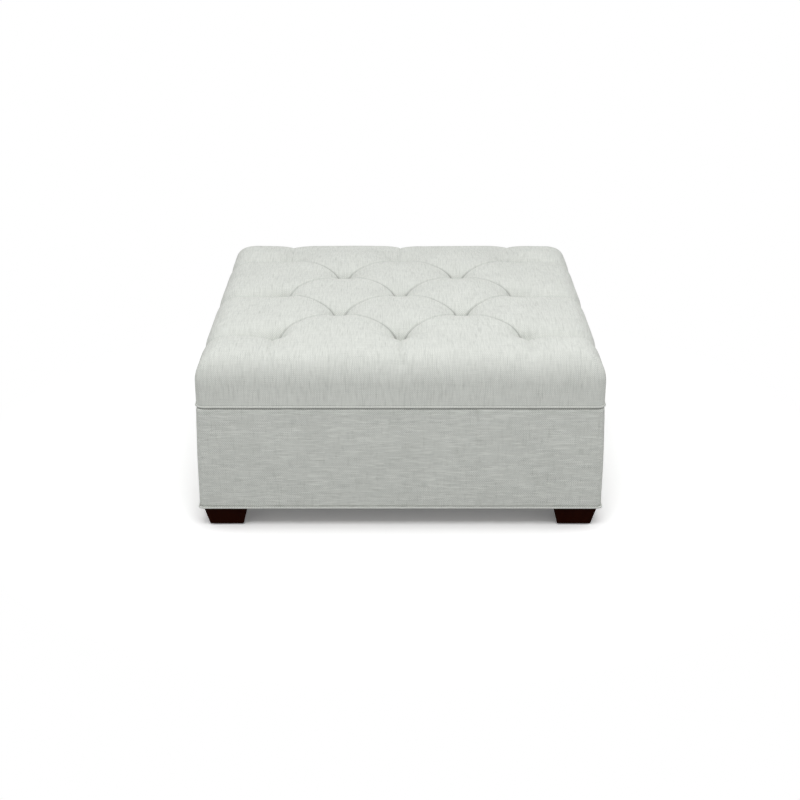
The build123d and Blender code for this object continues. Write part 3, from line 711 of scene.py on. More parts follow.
class OTTOMAN_OT_lid_cover(bpy.types.Operator):
    """Make the lid's upholstery with its sewn tufts and pleats"""
    bl_idname = "ottoman.lid_cover"
    bl_label = "Tufted lid cover"

    def execute(self, context):
        settings = context.scene.ottoman
        bm = take_mesh(build_lid_cloth(settings.top))
        # Turn the hem under the deck's edge and close it there
        hem = bmesh.ops.extrude_edge_only(bm, edges=[edge for edge in bm.edges if edge.is_boundary])["geom"]
        for vert in only(bmesh.types.BMVert, hem):
            vert.co = Vector((vert.co.x * HEM_SHARE, vert.co.y * HEM_SHARE, DECK_BOTTOM + HEM_GAP))
        rim = [edge for edge in only(bmesh.types.BMEdge, hem) if edge.is_boundary]
        bmesh.ops.holes_fill(bm, edges=rim, sides=0)
        bmesh.ops.recalc_face_normals(bm, faces=bm.faces)
        # The lid's cloth is darkened by painted shade in its creases and towards its buttons
        material = fabric_material(
            "Lid cloth", settings.fabric, (1.35, 0.45), (0.5, 0.15), checks=0.45, crease=0.55)
        piece = add_piece("upholstery_lid", bm, material, LID_BODY)
        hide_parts("lid_cover")
        return {"FINISHED"}


# The box's cover, in metres
BOX_CORNER_RADIUS = 0.008
RIM_RADIUS = 0.003
PANEL_THICKNESS = 0.018
LINING_THICKNESS = 0.0015
TURNED_IN = 0.0255
CORNER_CELLS = 6
BOX_CLOTH_THICKNESS = 0.0012
BOX_PIPING_CORNER_RADIUS = 0.010
# From the first to the second distance behind the middle the rim flattens out under the hinge leaf
HINGE_CLEARANCE = (0.455, 0.472)
# Shares of the box's half width beside a corner over which the padding and the pinch ease off
PADDING_EASE = 0.045
PINCH_EASE = 0.024
# Shares of the box's height between which the pinch grows
PINCH_FROM, PINCH_TO = 0.90, 0.985


def box_profile(low, cell):
    """The box cover's section, up the outside, over the rim and down inside: half widths and levels."""
    inner = PANEL_FACE - PANEL_THICKNESS - LINING_THICKNESS
    side_rows = int((BOX_TOP - low) / cell)
    outside = np.radians([30, 60, 90])
    inside = np.radians([45, 90])
    round_level = BOX_TOP - RIM_RADIUS
    levels = np.concatenate([
        np.linspace(low, round_level, side_rows),
        round_level + RIM_RADIUS * np.sin(outside),
        np.full(4, BOX_TOP),
        round_level + RIM_RADIUS * np.cos(inside),
        np.linspace(BOX_TOP - 2 * RIM_RADIUS, BOX_TOP - TURNED_IN, 4)])
    halves = np.concatenate([
        np.full(side_rows, HALF_BOX),
        HALF_BOX - RIM_RADIUS + RIM_RADIUS * np.cos(outside),
        np.linspace(HALF_BOX - 2 * RIM_RADIUS, inner + RIM_RADIUS, 4),
        inner + RIM_RADIUS - RIM_RADIUS * np.sin(inside),
        np.full(4, inner)])
    return halves, levels


class OTTOMAN_OT_box_cover(bpy.types.Operator):
    """Make the box's padded cover with its turned rim and drawn-in corners"""
    bl_idname = "ottoman.box_cover"
    bl_label = "Box cover"

    def execute(self, context):
        settings = context.scene.ottoman
        box = settings.box
        low = BOX_WELT_TOP - 0.0004
        halves, levels = box_profile(low, box.cell)
        rows = len(levels)
        straight = np.linspace(0, 1, int(HALF_BOX / box.cell) + 1)[:-1]
        flat_half = HALF_BOX - BOX_CORNER_RADIUS
        split = flat_half / (flat_half + BOX_CORNER_RADIUS * math.pi / 4)
        shares = np.concatenate([straight * split, np.linspace(split, 1, CORNER_CELLS + 1)])
        side_shares = np.concatenate([-shares[::-1], shares[1:]])[:-1]
        per_side = len(side_shares)
        mesh, column, row = unit_grid(4 * per_side, rows - 1)
        half = halves[row]
        level = levels[row]
        side = (column // per_side) % 4
        corner_radius = np.clip(BOX_CORNER_RADIUS - (HALF_BOX - half), 0.0005, BOX_CORNER_RADIUS)
        out, along, _ = rounded_square(half, corner_radius, side_shares[column % per_side])
        # Padding swells towards the bottom, and the rim's corners are drawn in
        up = (level - low) / (BOX_TOP - low)
        from_corner = 1 - np.abs(along) / HALF_BOX
        edge = smooth_step(from_corner, 0.0, PADDING_EASE)
        swell = box.softness * (0.7 + 0.3 * edge) * smooth_step(1 - up, 0, 0.55)
        places = np.stack([out + side * 3.0, along + side * 1.0, level + side * 2.0], axis=1)
        uneven = wander(places, 6.0, 5.0) * 0.0009
        pinch = box.corner_pinch * (1 - smooth_step(from_corner, 0.0, PINCH_EASE))
        pinch *= smooth_step(up, PINCH_FROM, PINCH_TO)
        outside = smooth_step(half, HALF_BOX - 0.004, HALF_BOX)
        x, y = turn_to_side(side, out + (swell + uneven * edge) * outside - pinch, along)
        # The rim stands up a little, but for the back, where the hinge leaf lies on it
        on_rim = (level > BOX_TOP - 0.0005) & (half < HALF_BOX - 0.001)
        level = level + on_rim * (1 - smooth_step(y, *HINGE_CLEARANCE)) * box.rim_swell
        set_places(mesh, np.stack([x, y, level], axis=1))
        corners = loop_vertices(mesh)
        steps = np.concatenate([[0], np.cumsum(np.hypot(np.diff(halves), np.diff(levels)))])
        cloth_u = column / per_side * 2 * HALF_BOX
        set_cloth_map(mesh, np.stack([cloth_u[corners], steps[row][corners]], axis=1))
        bm = take_mesh(mesh, merge=0.00005)
        # Painted shade: the box's cloth is the lid's cloth made a little darker
        material = fabric_material("Box cloth", settings.fabric, (1.4, 0.4), (3.2, 2.4), tint=(0.96,) * 3)
        piece = add_piece("upholstery_box", bm, material, BOX_BODY)
        thick = piece.modifiers.new("Cloth thickness", "SOLIDIFY")
        thick.thickness = BOX_CLOTH_THICKNESS
        thick.offset = -1
        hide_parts("box_cover", "box_padding")
        return {"FINISHED"}


# A cord's mesh: columns along it, faces round it, and how lumpy it is as a share of its radius
PIPING_COLUMNS = 640
PIPING_ROUND = 14
PIPING_LUMPS = 0.03
# The share of a length that runs along each thread at half a right angle
BIAS_SHARE = 0.707


def piping_mesh(half, corner_radius, level):
    """A sewn cord covered in cloth, once round a rounded square."""
    mesh, column, row = unit_grid(PIPING_COLUMNS, PIPING_ROUND)
    turn = row / PIPING_ROUND * 2 * math.pi
    per_side = PIPING_COLUMNS // 4
    straight = half - corner_radius
    split = straight / (straight + corner_radius * math.pi / 4)
    shares = np.concatenate([np.linspace(0, split, per_side // 2 - 10)[:-1], np.linspace(split, 1, 12)])
    side_shares = np.concatenate([-shares[::-1], shares[1:]])[:per_side]
    share = side_shares[column % per_side]
    bulge = WELT_RADIUS * (1 + PIPING_LUMPS * np.sin(column * 0.9) * np.sin(column * 0.37))
    out, along, cloth_along = rounded_square(half, corner_radius, share)
    past = np.maximum(np.abs(cloth_along) - straight, 0)
    angle = past / corner_radius * np.sign(share)
    out_cos = bulge * np.cos(turn)
    x, y = turn_to_side(
        (column // per_side) % 4, out + out_cos * np.cos(angle), along + out_cos * np.sin(angle))
    set_places(mesh, np.stack([x, y, level + bulge * np.sin(turn)], axis=1))
    # Piping is cut on the bias, so its threads run slantwise
    corners = loop_vertices(mesh)
    length = column / per_side * 2 * half
    girth = turn * WELT_RADIUS
    slant = np.stack([(length + girth)[corners], (girth - length)[corners]], axis=1) * BIAS_SHARE
    set_cloth_map(mesh, slant)
    return take_mesh(mesh, merge=0.00002)


class OTTOMAN_OT_piping(bpy.types.Operator):
    """Make the piping in the lid's seam and round the bottom of the box"""
    bl_idname = "ottoman.piping"
    bl_label = "Piping"

    def execute(self, context):
        settings = context.scene.ottoman
        # Painted shade: the piping is the same cloth made a little darker, to dim its highlight
        material = fabric_material("Piping cloth", settings.fabric, (0.8, 0.3), (0.8, 0.3), tint=(0.95,) * 3)
        bm = piping_mesh(SEAM_HALF, SEAM_CORNER_RADIUS, WELT_LEVEL)
        lid = add_piece("piping_lid", bm, material, LID_BODY)
        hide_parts("lid_welt")
        foot_half = HALF_BOX + settings.box.softness
        bm = piping_mesh(foot_half, BOX_PIPING_CORNER_RADIUS, BOX_WELT_TOP - WELT_RADIUS)
        box = add_piece("piping_box", bm, material, BOX_BODY)
        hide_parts("box_welt")
        return {"FINISHED"}


class OTTOMAN_OT_buttons(bpy.types.Operator):
    """Make the cloth-covered buttons in the tufts"""
    bl_idname = "ottoman.buttons"
    bl_label = "Covered buttons"

    def execute(self, context):
        settings = context.scene.ottoman
        height = BUTTON_HIGH[2] - BUTTON_LOW[2]
        outline = [(0.0, 1.0), (0.45, 0.96), (0.78, 0.80), (0.95, 0.52), (1.0, 0.28), (0.93, 0.06),
                   (0.80, 0.0), (0.0, 0.0)]
        bm = turned([(share * BUTTON_RADIUS, TUFT_FLOOR + level * height) for share, level in outline], 24)
        repeat_at(bm, [(x, y, 0) for x, y in TUFTS])
        material = fabric_material("Button cloth", settings.fabric, (0.8, 0.3), (0.8, 0.3), kind="Object")
        piece = add_piece("covered_buttons", bm, material, LID_BODY)
        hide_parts("tuft_buttons")
        return {"FINISHED"}


# Wood, board and metal
def grain_group():
    """Straight wood grain along Z: masks of the rings and of the pores."""
    if "Grain" in bpy.data.node_groups:
        return bpy.data.node_groups["Grain"]
    tree, given, out = new_group(
        "Grain",
        [("Vector", "Vector", None), ("Scale", "Float", 60.0)],
        [("Rings", "Float"), ("Pores", "Float")])
    scaled = place(
        tree, "ShaderNodeVectorMath", {0: given["Vector"], "Scale": given["Scale"]},
        operation="SCALE").outputs[0]
    bend = place(tree, "ShaderNodeTexNoise", {"Vector": scaled, "Scale": 0.35, "Detail": 2.0})
    moved = place(
        tree, "ShaderNodeVectorMath", {0: scaled, 1: bend.outputs["Color"]}, operation="ADD").outputs[0]
    stretched = place(tree, "ShaderNodeMapping", {"Vector": moved, "Scale": (1.0, 1.0, 0.06)}).outputs[0]
    fine = place(tree, "ShaderNodeMapping", {"Vector": scaled, "Scale": (1.0, 1.0, 0.03)}).outputs[0]
    pores = noise_at(tree, fine, 22.0, 2.0)
    pores = place(tree, "ShaderNodeMapRange", {0: pores, 1: 0.55, 2: 0.72}).outputs[0]
    tree.links.new(noise_at(tree, stretched, 2.2, 5.0), out["Rings"])
    tree.links.new(pores, out["Pores"])
    return tree


def grained(tree, coords, scale, light, dark, pore, turn=(0, 0, 0)):
    """The grain's masks and its colour; pore has the pores' colour and strength."""
    along = place(tree, "ShaderNodeMapping", {"Vector": coords, "Rotation": turn}).outputs[0]
    grain = place(tree, "ShaderNodeGroup", {"Vector": along, "Scale": scale}, node_tree=grain_group()).outputs
    colour = mix_colour(tree, grain["Rings"], [*light, 1], [*dark, 1])
    return grain, mix_colour(tree, times(tree, grain["Pores"], pore[1]), colour, [*pore[0], 1])


def wood_material(name, dark, light, scale, roughness, shine=0.5):
    """Wood whose grain runs along Z, with pores darker than its dark colour."""
    material, tree, shader, coords = new_material(name)
    pore = ([0.45 * part for part in dark], 0.55)
    grain, colour = grained(tree, coords, scale, light, dark, pore)
    rough = add(tree, roughness, times(tree, grain["Pores"], 0.2))
    height = minus(tree, grain["Rings"], times(tree, grain["Pores"], 0.7))
    finish_material(tree, shader, colour, rough, bump_from(tree, height, 0.25, 0.0004))
    shader["Specular IOR Level"].default_value = shine
    return material


def board_material():
    """Plywood: a pale face whose grain runs level."""
    material, tree, shader, coords = new_material("Plywood")
    grain, colour = grained(tree, coords, 26.0, (0.60, 0.42, 0.25), (0.42, 0.27, 0.14),
                            ((0.25, 0.15, 0.08), 0.35), turn=(0, math.pi / 2, 0))
    rough = add(tree, 0.62, times(tree, grain["Rings"], 0.15))
    finish_material(tree, shader, colour, rough, bump_from(tree, grain["Rings"], 0.3, 0.0003))
    return material


def metal_material(name, colour, roughness, metallic=1.0):
    """Metal with fine pits and smudges."""
    material, tree, shader, coords = new_material(name)
    fine = noise_at(tree, coords, 900.0, 2.0)
    smudge = noise_at(tree, coords, 35.0, 3.0)
    pale = [min(1, c * 1.12) for c in colour] + [1]
    smudged = mix_colour(tree, smudge, [*(c * 0.86 for c in colour), 1], pale)
    worn = add(tree, times(tree, fine, 0.10), times(tree, smudge, 0.14))
    rough = add(tree, roughness - 0.12, worn, clamp=True)
    finish_material(tree, shader, smudged, rough, bump_from(tree, fine, 0.12, 0.0001))
    shader["Metallic"].default_value = metallic
    return material


def zinc_material():
    """The zinc plating of the leaves, brackets, bolts, staples and screws."""
    name = "Zinc plate"
    return bpy.data.materials.get(name) or metal_material(name, (0.40, 0.41, 0.42), 0.42)


def grainy_material(name, dark, light, scale, roughness, bump_height):
    """Foam, rubber, plastic or loose fibre: a fine even grain."""
    material, tree, shader, coords = new_material(name)
    cells = place(tree, "ShaderNodeTexVoronoi", {"Vector": coords, "Scale": scale}).outputs["Distance"]
    cloud = noise_at(tree, coords, scale / 12, 3.0)
    both = add(tree, times(tree, cells, 0.6), times(tree, cloud, 0.5))
    rough = add(tree, roughness, times(tree, cloud, 0.1))
    colour = mix_colour(tree, both, [*dark, 1], [*light, 1])
    finish_material(tree, shader, colour, rough, bump_from(tree, cells, 0.4, bump_height))
    return material


def dress(material, *nodes):
    """Give CAD nodes a finish."""
    for name in nodes:
        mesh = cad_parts[name].data
        mesh.materials.clear()
        mesh.materials.append(material)


# A foot's width at the floor, as a share of its width at the top
FOOT_TAPER = 85 / 111
FOOT_EDGE_RADIUS = 0.0022


class OTTOMAN_OT_feet(bpy.types.Operator):
    """Make the four tapered feet of stained wood"""
    bl_idname = "ottoman.feet"
    bl_label = "Tapered feet"

    def execute(self, context):
        wood = context.scene.ottoman.wood
        material = wood_material("Stained wood", wood.stain, wood.grain, 42.0, 0.48, shine=0.03)
        for place_name in ("front_left", "front_right", "back_left", "back_right"):
            node = "foot_" + place_name
            low, high = (Vector(corner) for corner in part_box(node))
            bm = bmesh.new()
            bmesh.ops.create_cube(bm, size=1)
            for vert in bm.verts:
                share = 1 if vert.co.z > 0 else FOOT_TAPER
                spot = Vector((vert.co.x * share, vert.co.y * share, vert.co.z))
                vert.co = (low + high) / 2 + (high - low) * spot
            bmesh.ops.bevel(bm, geom=list(bm.edges), offset=FOOT_EDGE_RADIUS, segments=3, profile=0.5,
                            affect="EDGES", material=-1)
            piece = add_piece("wood_" + node, bm, material, BOX_BODY)
            piece.modifiers.new("Even shading", "WEIGHTED_NORMAL").keep_sharp = True
            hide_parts(node)
        return {"FINISHED"}


# The thin cloths and the foam, in metres
CLOTH_CELL = 0.030
FOAM_CELL = 0.060
FACE_TOLERANCE = 0.0004
LINING_STAND_OFF = 0.0016
LINER_STAND_OFF = 0.0007
DUST_CLOTH_SAG = 0.0042
FOAM_UNEVENNESS = 0.0012
TWINE_STEP = 0.003


def from_edges(place, high):
    """Distances of a place from the nearest two of a cloth's four outer planes, the nearer one first."""
    return sorted((high[0] - abs(place.x), high[1] - abs(place.y)))


def billow(place, scale, seed, lift):
    """How much cloth stands off at a place: patches of up to about 1, and flat cloth between them."""
    spot = Vector((place.x * scale, place.y * scale, seed))
    return max(noise.noise(spot) + lift, 0)


class OTTOMAN_OT_lining(bpy.types.Operator):
    """Make the cloths of the storage space, the lid's underside and the bottom"""
    bl_idname = "ottoman.lining"
    bl_label = "Lining and dust cloth"

    def execute(self, context):
        fabric = context.scene.ottoman.fabric
        lining = fabric_material(
            "Lining cloth", fabric, (0.4, 0.1), (0.4, 0.1), kind="Object", tint=(0.20, 0.20, 0.21))
        low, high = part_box("box_lining")
        bm = cloth_copy("box_lining", CLOTH_CELL)
        for vert in bm.verts:
            # Only the face towards the storage space ripples; the glued face, hem and corners stay flat
            near, far = from_edges(vert.co, high)
            hem = high[2] - vert.co.z
            if min(near, vert.co.z - low[2], hem) >= FACE_TOLERANCE and far >= 0.060:
                off = billow(vert.co, 7, vert.co.z * 3, 0.6) * min(1, hem / 0.03)
                vert.co += vert.normal * LINING_STAND_OFF * off
        piece = add_piece("lining_storage", bm, lining, BOX_BODY)
        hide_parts("box_lining")

        low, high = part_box("lid_liner")
        bm = cloth_copy("lid_liner", CLOTH_CELL)
        for vert in bm.verts:
            if vert.co.z <= low[2] + FACE_TOLERANCE:
                near = from_edges(vert.co, high)[0]
                vert.co.z -= LINER_STAND_OFF * billow(vert.co, 9, 4.0, 0.5) * min(1, near / 0.05)
        piece = add_piece("lining_lid", bm, lining, LID_BODY)
        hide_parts("lid_liner")

        dust = fabric_material("Dust cloth", fabric, (0.3, 0.1), (0.3, 0.1), kind="Object", tint=(0.45,) * 3)
        low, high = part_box("dust_cover")
        foot_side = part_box("foot_front_right")[0][0]
        bm = cloth_copy("dust_cover", CLOTH_CELL)
        for vert in bm.verts:
            # Sags between its staples and stays flat on the feet
            near = from_edges(vert.co, high)[0]
            from_feet = foot_side - min(abs(vert.co.x), abs(vert.co.y))
            free = min(1, max(0, near - 0.012) / 0.10) * min(1, max(0, from_feet) / 0.05)
            vert.co.z -= DUST_CLOTH_SAG * billow(vert.co, 6, 9.0, 0.7) * free
        piece = add_piece("cloth_under_box", bm, dust, BOX_BODY)
        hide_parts("dust_cover")
        return {"FINISHED"}


class OTTOMAN_OT_filling(bpy.types.Operator):
    """Make the lid's foam and the twine that ties its buttons down"""
    bl_idname = "ottoman.filling"
    bl_label = "Foam and twine"

    def execute(self, context):
        foam = grainy_material("Foam", (0.70, 0.66, 0.50), (0.83, 0.80, 0.66), 900.0, 0.9, 0.0004)
        low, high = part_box("lid_foam")
        bm = cloth_copy("lid_foam", FOAM_CELL)
        for vert in bm.verts:
            if vert.co.z >= low[2] + 0.001:
                vert.co -= vert.normal * FOAM_UNEVENNESS * (1 + noise.noise(vert.co * 5))
        piece = add_piece("foam_block", bm, foam, LID_BODY, smooth=False)
        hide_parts("lid_foam")

        twine = grainy_material("Twine", (0.48, 0.44, 0.34), (0.66, 0.62, 0.50), 1500.0, 0.85, 0.0003)
        low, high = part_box("tuft_twine")
        bm = bmesh.new()
        strand = bmesh.ops.create_circle(bm, segments=8, radius=high[0] - 2 * TUFT_PITCH)["verts"]
        for number, vert in enumerate(strand):
            width = 0.72 if number % 2 else 1
            vert.co = Vector((vert.co.x * width, vert.co.y * width, low[2]))
        edges = list(bm.edges)
        steps = int((high[2] - low[2]) / TWINE_STEP)
        twist = Matrix.Rotation(math.radians(40), 3, "Z")
        for _ in range(steps):
            grown = bmesh.ops.extrude_edge_only(bm, edges=edges)["geom"]
            verts = only(bmesh.types.BMVert, grown)
            edges = only(bmesh.types.BMEdge, grown)
            bmesh.ops.rotate(bm, verts=verts, cent=(0, 0, 0), matrix=twist)
            bmesh.ops.translate(bm, verts=verts, vec=(0, 0, (high[2] - low[2]) / steps))
        bmesh.ops.holes_fill(bm, edges=list(bm.edges), sides=0)
        repeat_at(bm, [(x, y, 0) for x, y in TUFTS])
        piece = add_piece("twine_ties", bm, twine, LID_BODY)
        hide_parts("tuft_twine")
        return {"FINISHED"}


# Staples and bracket screws, in metres
STAPLE_SIZE = (0.011, 0.0012, 0.0008)
STAPLE_SPACING = 0.045
STAPLE_EDGE_RADIUS = 0.0002
SCREW_HEAD_RADIUS = 0.0040
SCREW_HEAD_HEIGHT = 0.0022
SCREW_RADIUS = 0.0019
SCREW_LENGTH = 0.014
BRACKET_SCREW_OFFSET = 0.016
BRACKET_THICKNESS = 0.002


def screw_mesh():
    """A round-headed screw along Z, its shank upwards from zero and its head below."""
    head = [(0.0, 1.0), (0.45, 0.95), (0.80, 0.70), (1.0, 0.25), (1.0, 0.0)]
    outline = [(share * SCREW_HEAD_RADIUS, -level * SCREW_HEAD_HEIGHT) for share, level in head]
    outline += [(SCREW_RADIUS, 0.0), (SCREW_RADIUS, 0.8 * SCREW_LENGTH), (0, SCREW_LENGTH)]
    bm = turned(outline, 16)
    # The driver's recess
    min(bm.verts, key=lambda vert: vert.co.z).co.z += 0.5 * SCREW_HEAD_HEIGHT
    return bm


def staple_row(node, inset):
    """Staples along the four edges of a cloth, level with its underside."""
    low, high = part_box(node)
    half_x = high[0] - inset
    half_y = high[1] - inset
    spots = []
    count = int(2 * half_x / STAPLE_SPACING)
    for number in range(count):
        along = (number + 0.5) / count * 2 - 1
        wobble = 0.0015 * math.sin(number * 2.4)
        spots += [(along * half_x, side * (half_y + wobble), 0) for side in (-1, 1)]
        spots += [(side * (half_x + wobble), along * half_y, math.pi / 2) for side in (-1, 1)]
    bm = bmesh.new()
    for x, y, turn in spots:
        made = bmesh.ops.create_cube(bm, size=1)["verts"]
        bmesh.ops.scale(bm, verts=made, vec=STAPLE_SIZE)
        bmesh.ops.rotate(bm, verts=made, cent=(0, 0, 0), matrix=Matrix.Rotation(turn, 3, "Z"))
        bmesh.ops.translate(bm, verts=made, vec=(x, y, low[2] - 0.0001))
    bmesh.ops.bevel(bm, geom=list(bm.edges), offset=STAPLE_EDGE_RADIUS, segments=1, profile=0.5,
                    affect="EDGES", material=-1)
    return bm


class OTTOMAN_OT_fasteners(bpy.types.Operator):
    """Make the staples round the cloths and the screws of the stay brackets"""
    bl_idname = "ottoman.fasteners"
    bl_label = "Staples and screws"

    def execute(self, context):
        zinc = zinc_material()
        for name, node, inset, body in (
                ("staples_box", "dust_cover", 0.007, BOX_BODY),
                ("staples_lid", "lid_liner", 0.024, LID_BODY)):
            piece = add_piece(name, staple_row(node, inset), zinc, body, smooth=False)
        for name, side in (("left", -1), ("right", 1)):
            low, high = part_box("stay_base_bracket_" + name)
            face = max(abs(low[0]), abs(high[0])) - BRACKET_THICKNESS
            y, z = (low[1] + high[1]) / 2, (low[2] + high[2]) / 2
            bm = screw_mesh()
            sideways = Matrix.Rotation(side * math.pi / 2, 3, "Y")
            bmesh.ops.rotate(bm, verts=bm.verts, cent=(0, 0, 0), matrix=sideways)
            repeat_at(bm, [(side * face, y, z + up * BRACKET_SCREW_OFFSET) for up in (-1, 1)])
            piece = add_piece("screws_base_bracket_" + name, bm, zinc, BOX_BODY)
            low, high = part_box("stay_lid_bracket_" + name)
            x, y = (low[0] + high[0]) / 2, (low[1] + high[1]) / 2
            bm = screw_mesh()
            repeat_at(bm, [
                (x, y + along * BRACKET_SCREW_OFFSET, high[2] - BRACKET_THICKNESS) for along in (-1, 1)])
            piece = add_piece("screws_lid_bracket_" + name, bm, zinc, LID_BODY)
        return {"FINISHED"}


class OTTOMAN_OT_structure(bpy.types.Operator):
    """Finish the boards, hinge, stays and small parts"""
    bl_idname = "ottoman.structure"
    bl_label = "Structure and fittings"

    def execute(self, context):
        board = board_material()
        dress(board, "front_panel", "back_panel", "left_panel", "right_panel", "floor_panel", "lid_deck")
        pine = wood_material("Pine", (0.50, 0.32, 0.16), (0.66, 0.47, 0.27), 30.0, 0.6)
        dress(pine, "foot_blocks", "floor_cleats", "corner_posts")
        dress(zinc_material(), "hinge_base_leaf", "hinge_lid_leaf", "hinge_base_screws", "hinge_lid_screws",
              "foot_bolts", "tuft_anchors", "stay_base_bracket_left", "stay_base_bracket_right",
              "stay_lid_bracket_left", "stay_lid_bracket_right")
        steel = metal_material("Polished steel", (0.70, 0.70, 0.71), 0.20)
        dress(steel, "hinge_pin", "stay_rod_left", "stay_rod_right")
        black = metal_material("Black lacquer", (0.018, 0.018, 0.019), 0.34, metallic=0.0)
        dress(black, "stay_tube_left", "stay_tube_right")
        rubber = grainy_material("Rubber", (0.010, 0.010, 0.011), (0.022, 0.022, 0.023), 700.0, 0.62, 0.0001)
        dress(rubber, "rim_bumpers")
        plastic = grainy_material(
            "Glide plastic", (0.02, 0.02, 0.02), (0.05, 0.05, 0.05), 1200.0, 0.40, 0.00005)
        dress(plastic, "foot_glides")
        return {"FINISHED"}


# The stage, in metres
CAMERA_SIDE = -0.0011
FLOOR_SIZE = 80
# Distances from the middle between which the floor fades out to the backdrop
FLOOR_FADE_FROM, FLOOR_FADE_TO = 0.75, 1.25
LAMP_AIM = Vector((0, 0, 0.3))
# Name, place, width and height, and the setting with its power
LAMPS = (
    ("Top light", (0.0, 0.0, 3.0), (2.4, 1.4), "top_light"),
    ("Left light", (-2.8, 0.0, 1.6), (1.4, 2.4), "side_light"),
    ("Right light", (2.8, 0.0, 1.6), (1.4, 2.4), "side_light"),
    ("Front light", (0.0, -2.4, 3.2), (3.0, 1.2), "front_light"),
    ("Back light", (0.0, 2.6, 3.1), (3.0, 1.2), "back_light"),
)


def make_camera(stage):
    """The camera in front of the ottoman, a little above it."""
    camera = bpy.data.objects.new("Camera", bpy.data.cameras.new("Camera"))
    camera.data.lens = stage.lens
    camera.data.sensor_width = 36
    camera.location = (CAMERA_SIDE, -stage.camera_distance, stage.camera_height)
    camera.rotation_euler = (math.pi / 2 - stage.camera_pitch, 0, 0)
    return camera


def floor_material(stage):
    """A white floor that keeps the shadow and fades out to the backdrop for the camera."""
    material = bpy.data.materials.new("Studio floor")
    material.use_nodes = True
    tree = material.node_tree
    tree.nodes.clear()
    coords = place(tree, "ShaderNodeTexCoord").outputs["Object"]
    distance = place(tree, "ShaderNodeVectorMath", {0: coords}, operation="LENGTH").outputs["Value"]
    fade = place(
        tree, "ShaderNodeMapRange", {0: distance, 1: FLOOR_FADE_FROM, 2: FLOOR_FADE_TO},
        interpolation_type="SMOOTHSTEP")
    seen = place(tree, "ShaderNodeLightPath").outputs["Is Camera Ray"]
    shade = mix_colour(tree, seen, [*(stage.floor_bounce,) * 3, 1], [*(stage.floor_white,) * 3, 1])
    lit = place(tree, "ShaderNodeBsdfDiffuse", {"Color": shade})
    white = place(tree, "ShaderNodeEmission", {"Color": (1, 1, 1, 1), "Strength": 1.0})
    lift = place(tree, "ShaderNodeEmission", {
        "Color": (1, 1, 1, 1), "Strength": times(tree, seen, stage.floor_lift)})
    raised = place(tree, "ShaderNodeAddShader", {0: lit.outputs[0], 1: lift.outputs[0]})
    share = times(tree, fade.outputs[0], seen)
    mixed = place(tree, "ShaderNodeMixShader", {0: share, 1: raised.outputs[0], 2: white.outputs[0]})
    output = place(tree, "ShaderNodeOutputMaterial")
    tree.links.new(mixed.outputs[0], output.inputs["Surface"])
    return material


def make_world(stage):
    """Even light from all round, and a white backdrop where the camera or a reflection sees it."""
    world = bpy.data.worlds.new("Studio")
    world.use_nodes = True
    tree = world.node_tree
    tree.nodes.clear()
    path = place(tree, "ShaderNodeLightPath").outputs
    seen = calculate(tree, "MAXIMUM", path["Is Camera Ray"], path["Is Glossy Ray"])
    seen = calculate(tree, "MAXIMUM", seen, path["Is Transmission Ray"])
    sky = place(tree, "ShaderNodeBackground", {"Color": (1, 1, 1, 1), "Strength": stage.sky})
    backdrop = place(tree, "ShaderNodeBackground", {"Color": (1, 1, 1, 1), "Strength": 1.0})
    mixed = place(tree, "ShaderNodeMixShader", {0: seen, 1: sky.outputs[0], 2: backdrop.outputs[0]})
    output = place(tree, "ShaderNodeOutputWorld")
    tree.links.new(mixed.outputs[0], output.inputs["Surface"])
    return world


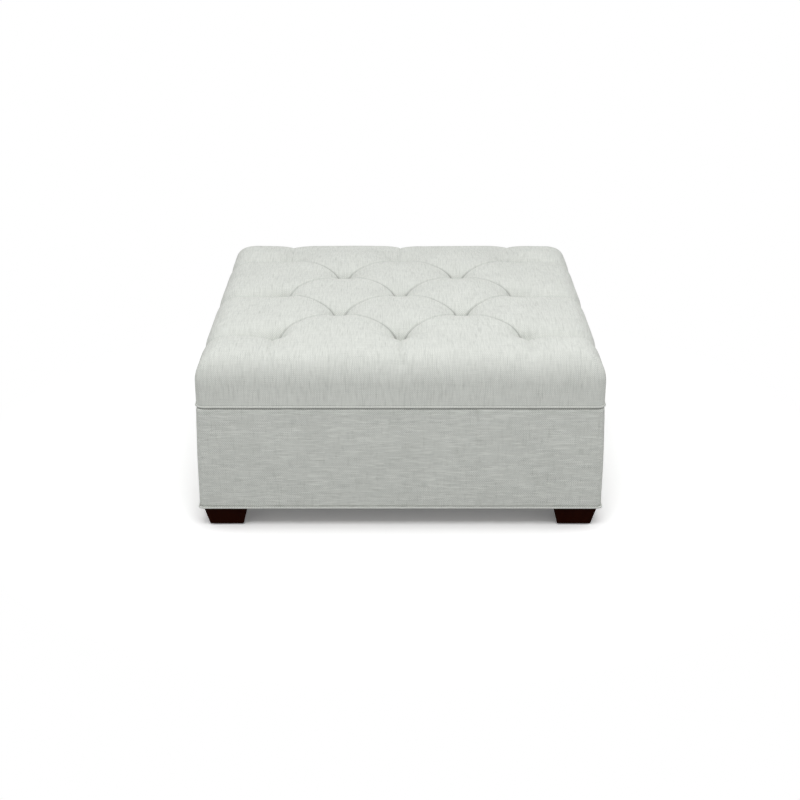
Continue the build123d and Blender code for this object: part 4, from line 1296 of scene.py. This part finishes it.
class OTTOMAN_OT_stage(bpy.types.Operator):
    """Make the floor, the lights and the camera"""
    bl_idname = "ottoman.stage"
    bl_label = "Stage"

    def execute(self, context):
        scene = context.scene
        stage = scene.ottoman.stage
        scene.camera = make_camera(stage)
        scene.collection.objects.link(scene.camera)
        scene.view_settings.view_transform = "Standard"
        scene.world = make_world(stage)

        bm = bmesh.new()
        bmesh.ops.create_grid(bm, x_segments=2, y_segments=2, size=FLOOR_SIZE / 2)
        mesh = bpy.data.meshes.new("floor")
        bm.to_mesh(mesh)
        bm.free()
        mesh.materials.append(floor_material(stage))
        floor = bpy.data.objects.new("floor", mesh)
        scene.collection.objects.link(floor)

        for name, spot, size, power in LAMPS:
            data = bpy.data.lights.new(name, "AREA")
            data.shape = "RECTANGLE"
            data.size, data.size_y = size
            data.energy = getattr(stage, power)
            lamp = bpy.data.objects.new(name, data)
            lamp.location = spot
            lamp.rotation_euler = (LAMP_AIM - Vector(spot)).to_track_quat("-Z", "Y").to_euler()
            scene.collection.objects.link(lamp)
        return {"FINISHED"}


class OTTOMAN_PT_pieces(bpy.types.Panel):
    """Lists the ottoman's pieces and settings"""
    bl_idname = "OTTOMAN_PT_pieces"
    bl_label = "Ottoman"
    bl_space_type = "VIEW_3D"
    bl_region_type = "UI"
    bl_category = "Ottoman"

    def draw(self, context):
        settings = context.scene.ottoman
        for operator in OPERATORS:
            self.layout.operator(operator.bl_idname)
        for group in (settings.fabric, settings.top, settings.box, settings.wood, settings.stage):
            box = self.layout.box()
            for name in group.__annotations__:
                box.prop(group, name)


GROUPS = (FabricSettings, TopSettings, BoxSettings, WoodSettings, StageSettings, OttomanSettings)
OPERATORS = (
    OTTOMAN_OT_stage,
    OTTOMAN_OT_lid_cover,
    OTTOMAN_OT_box_cover,
    OTTOMAN_OT_piping,
    OTTOMAN_OT_buttons,
    OTTOMAN_OT_feet,
    OTTOMAN_OT_lining,
    OTTOMAN_OT_filling,
    OTTOMAN_OT_structure,
    OTTOMAN_OT_fasteners,
)


def register():
    for item in (*GROUPS, *OPERATORS, OTTOMAN_PT_pieces):
        bpy.utils.register_class(item)
    bpy.types.Scene.ottoman = PointerProperty(type=OttomanSettings)


def unregister():
    del bpy.types.Scene.ottoman
    for item in reversed((*GROUPS, *OPERATORS, OTTOMAN_PT_pieces)):
        bpy.utils.unregister_class(item)


def main():
    register()
    bpy.ops.ottoman.stage()
    bpy.ops.ottoman.lid_cover()
    bpy.ops.ottoman.box_cover()
    bpy.ops.ottoman.piping()
    bpy.ops.ottoman.buttons()
    bpy.ops.ottoman.feet()
    bpy.ops.ottoman.lining()
    bpy.ops.ottoman.filling()
    bpy.ops.ottoman.structure()
    bpy.ops.ottoman.fasteners()


if __name__ == "__main__":
    main()
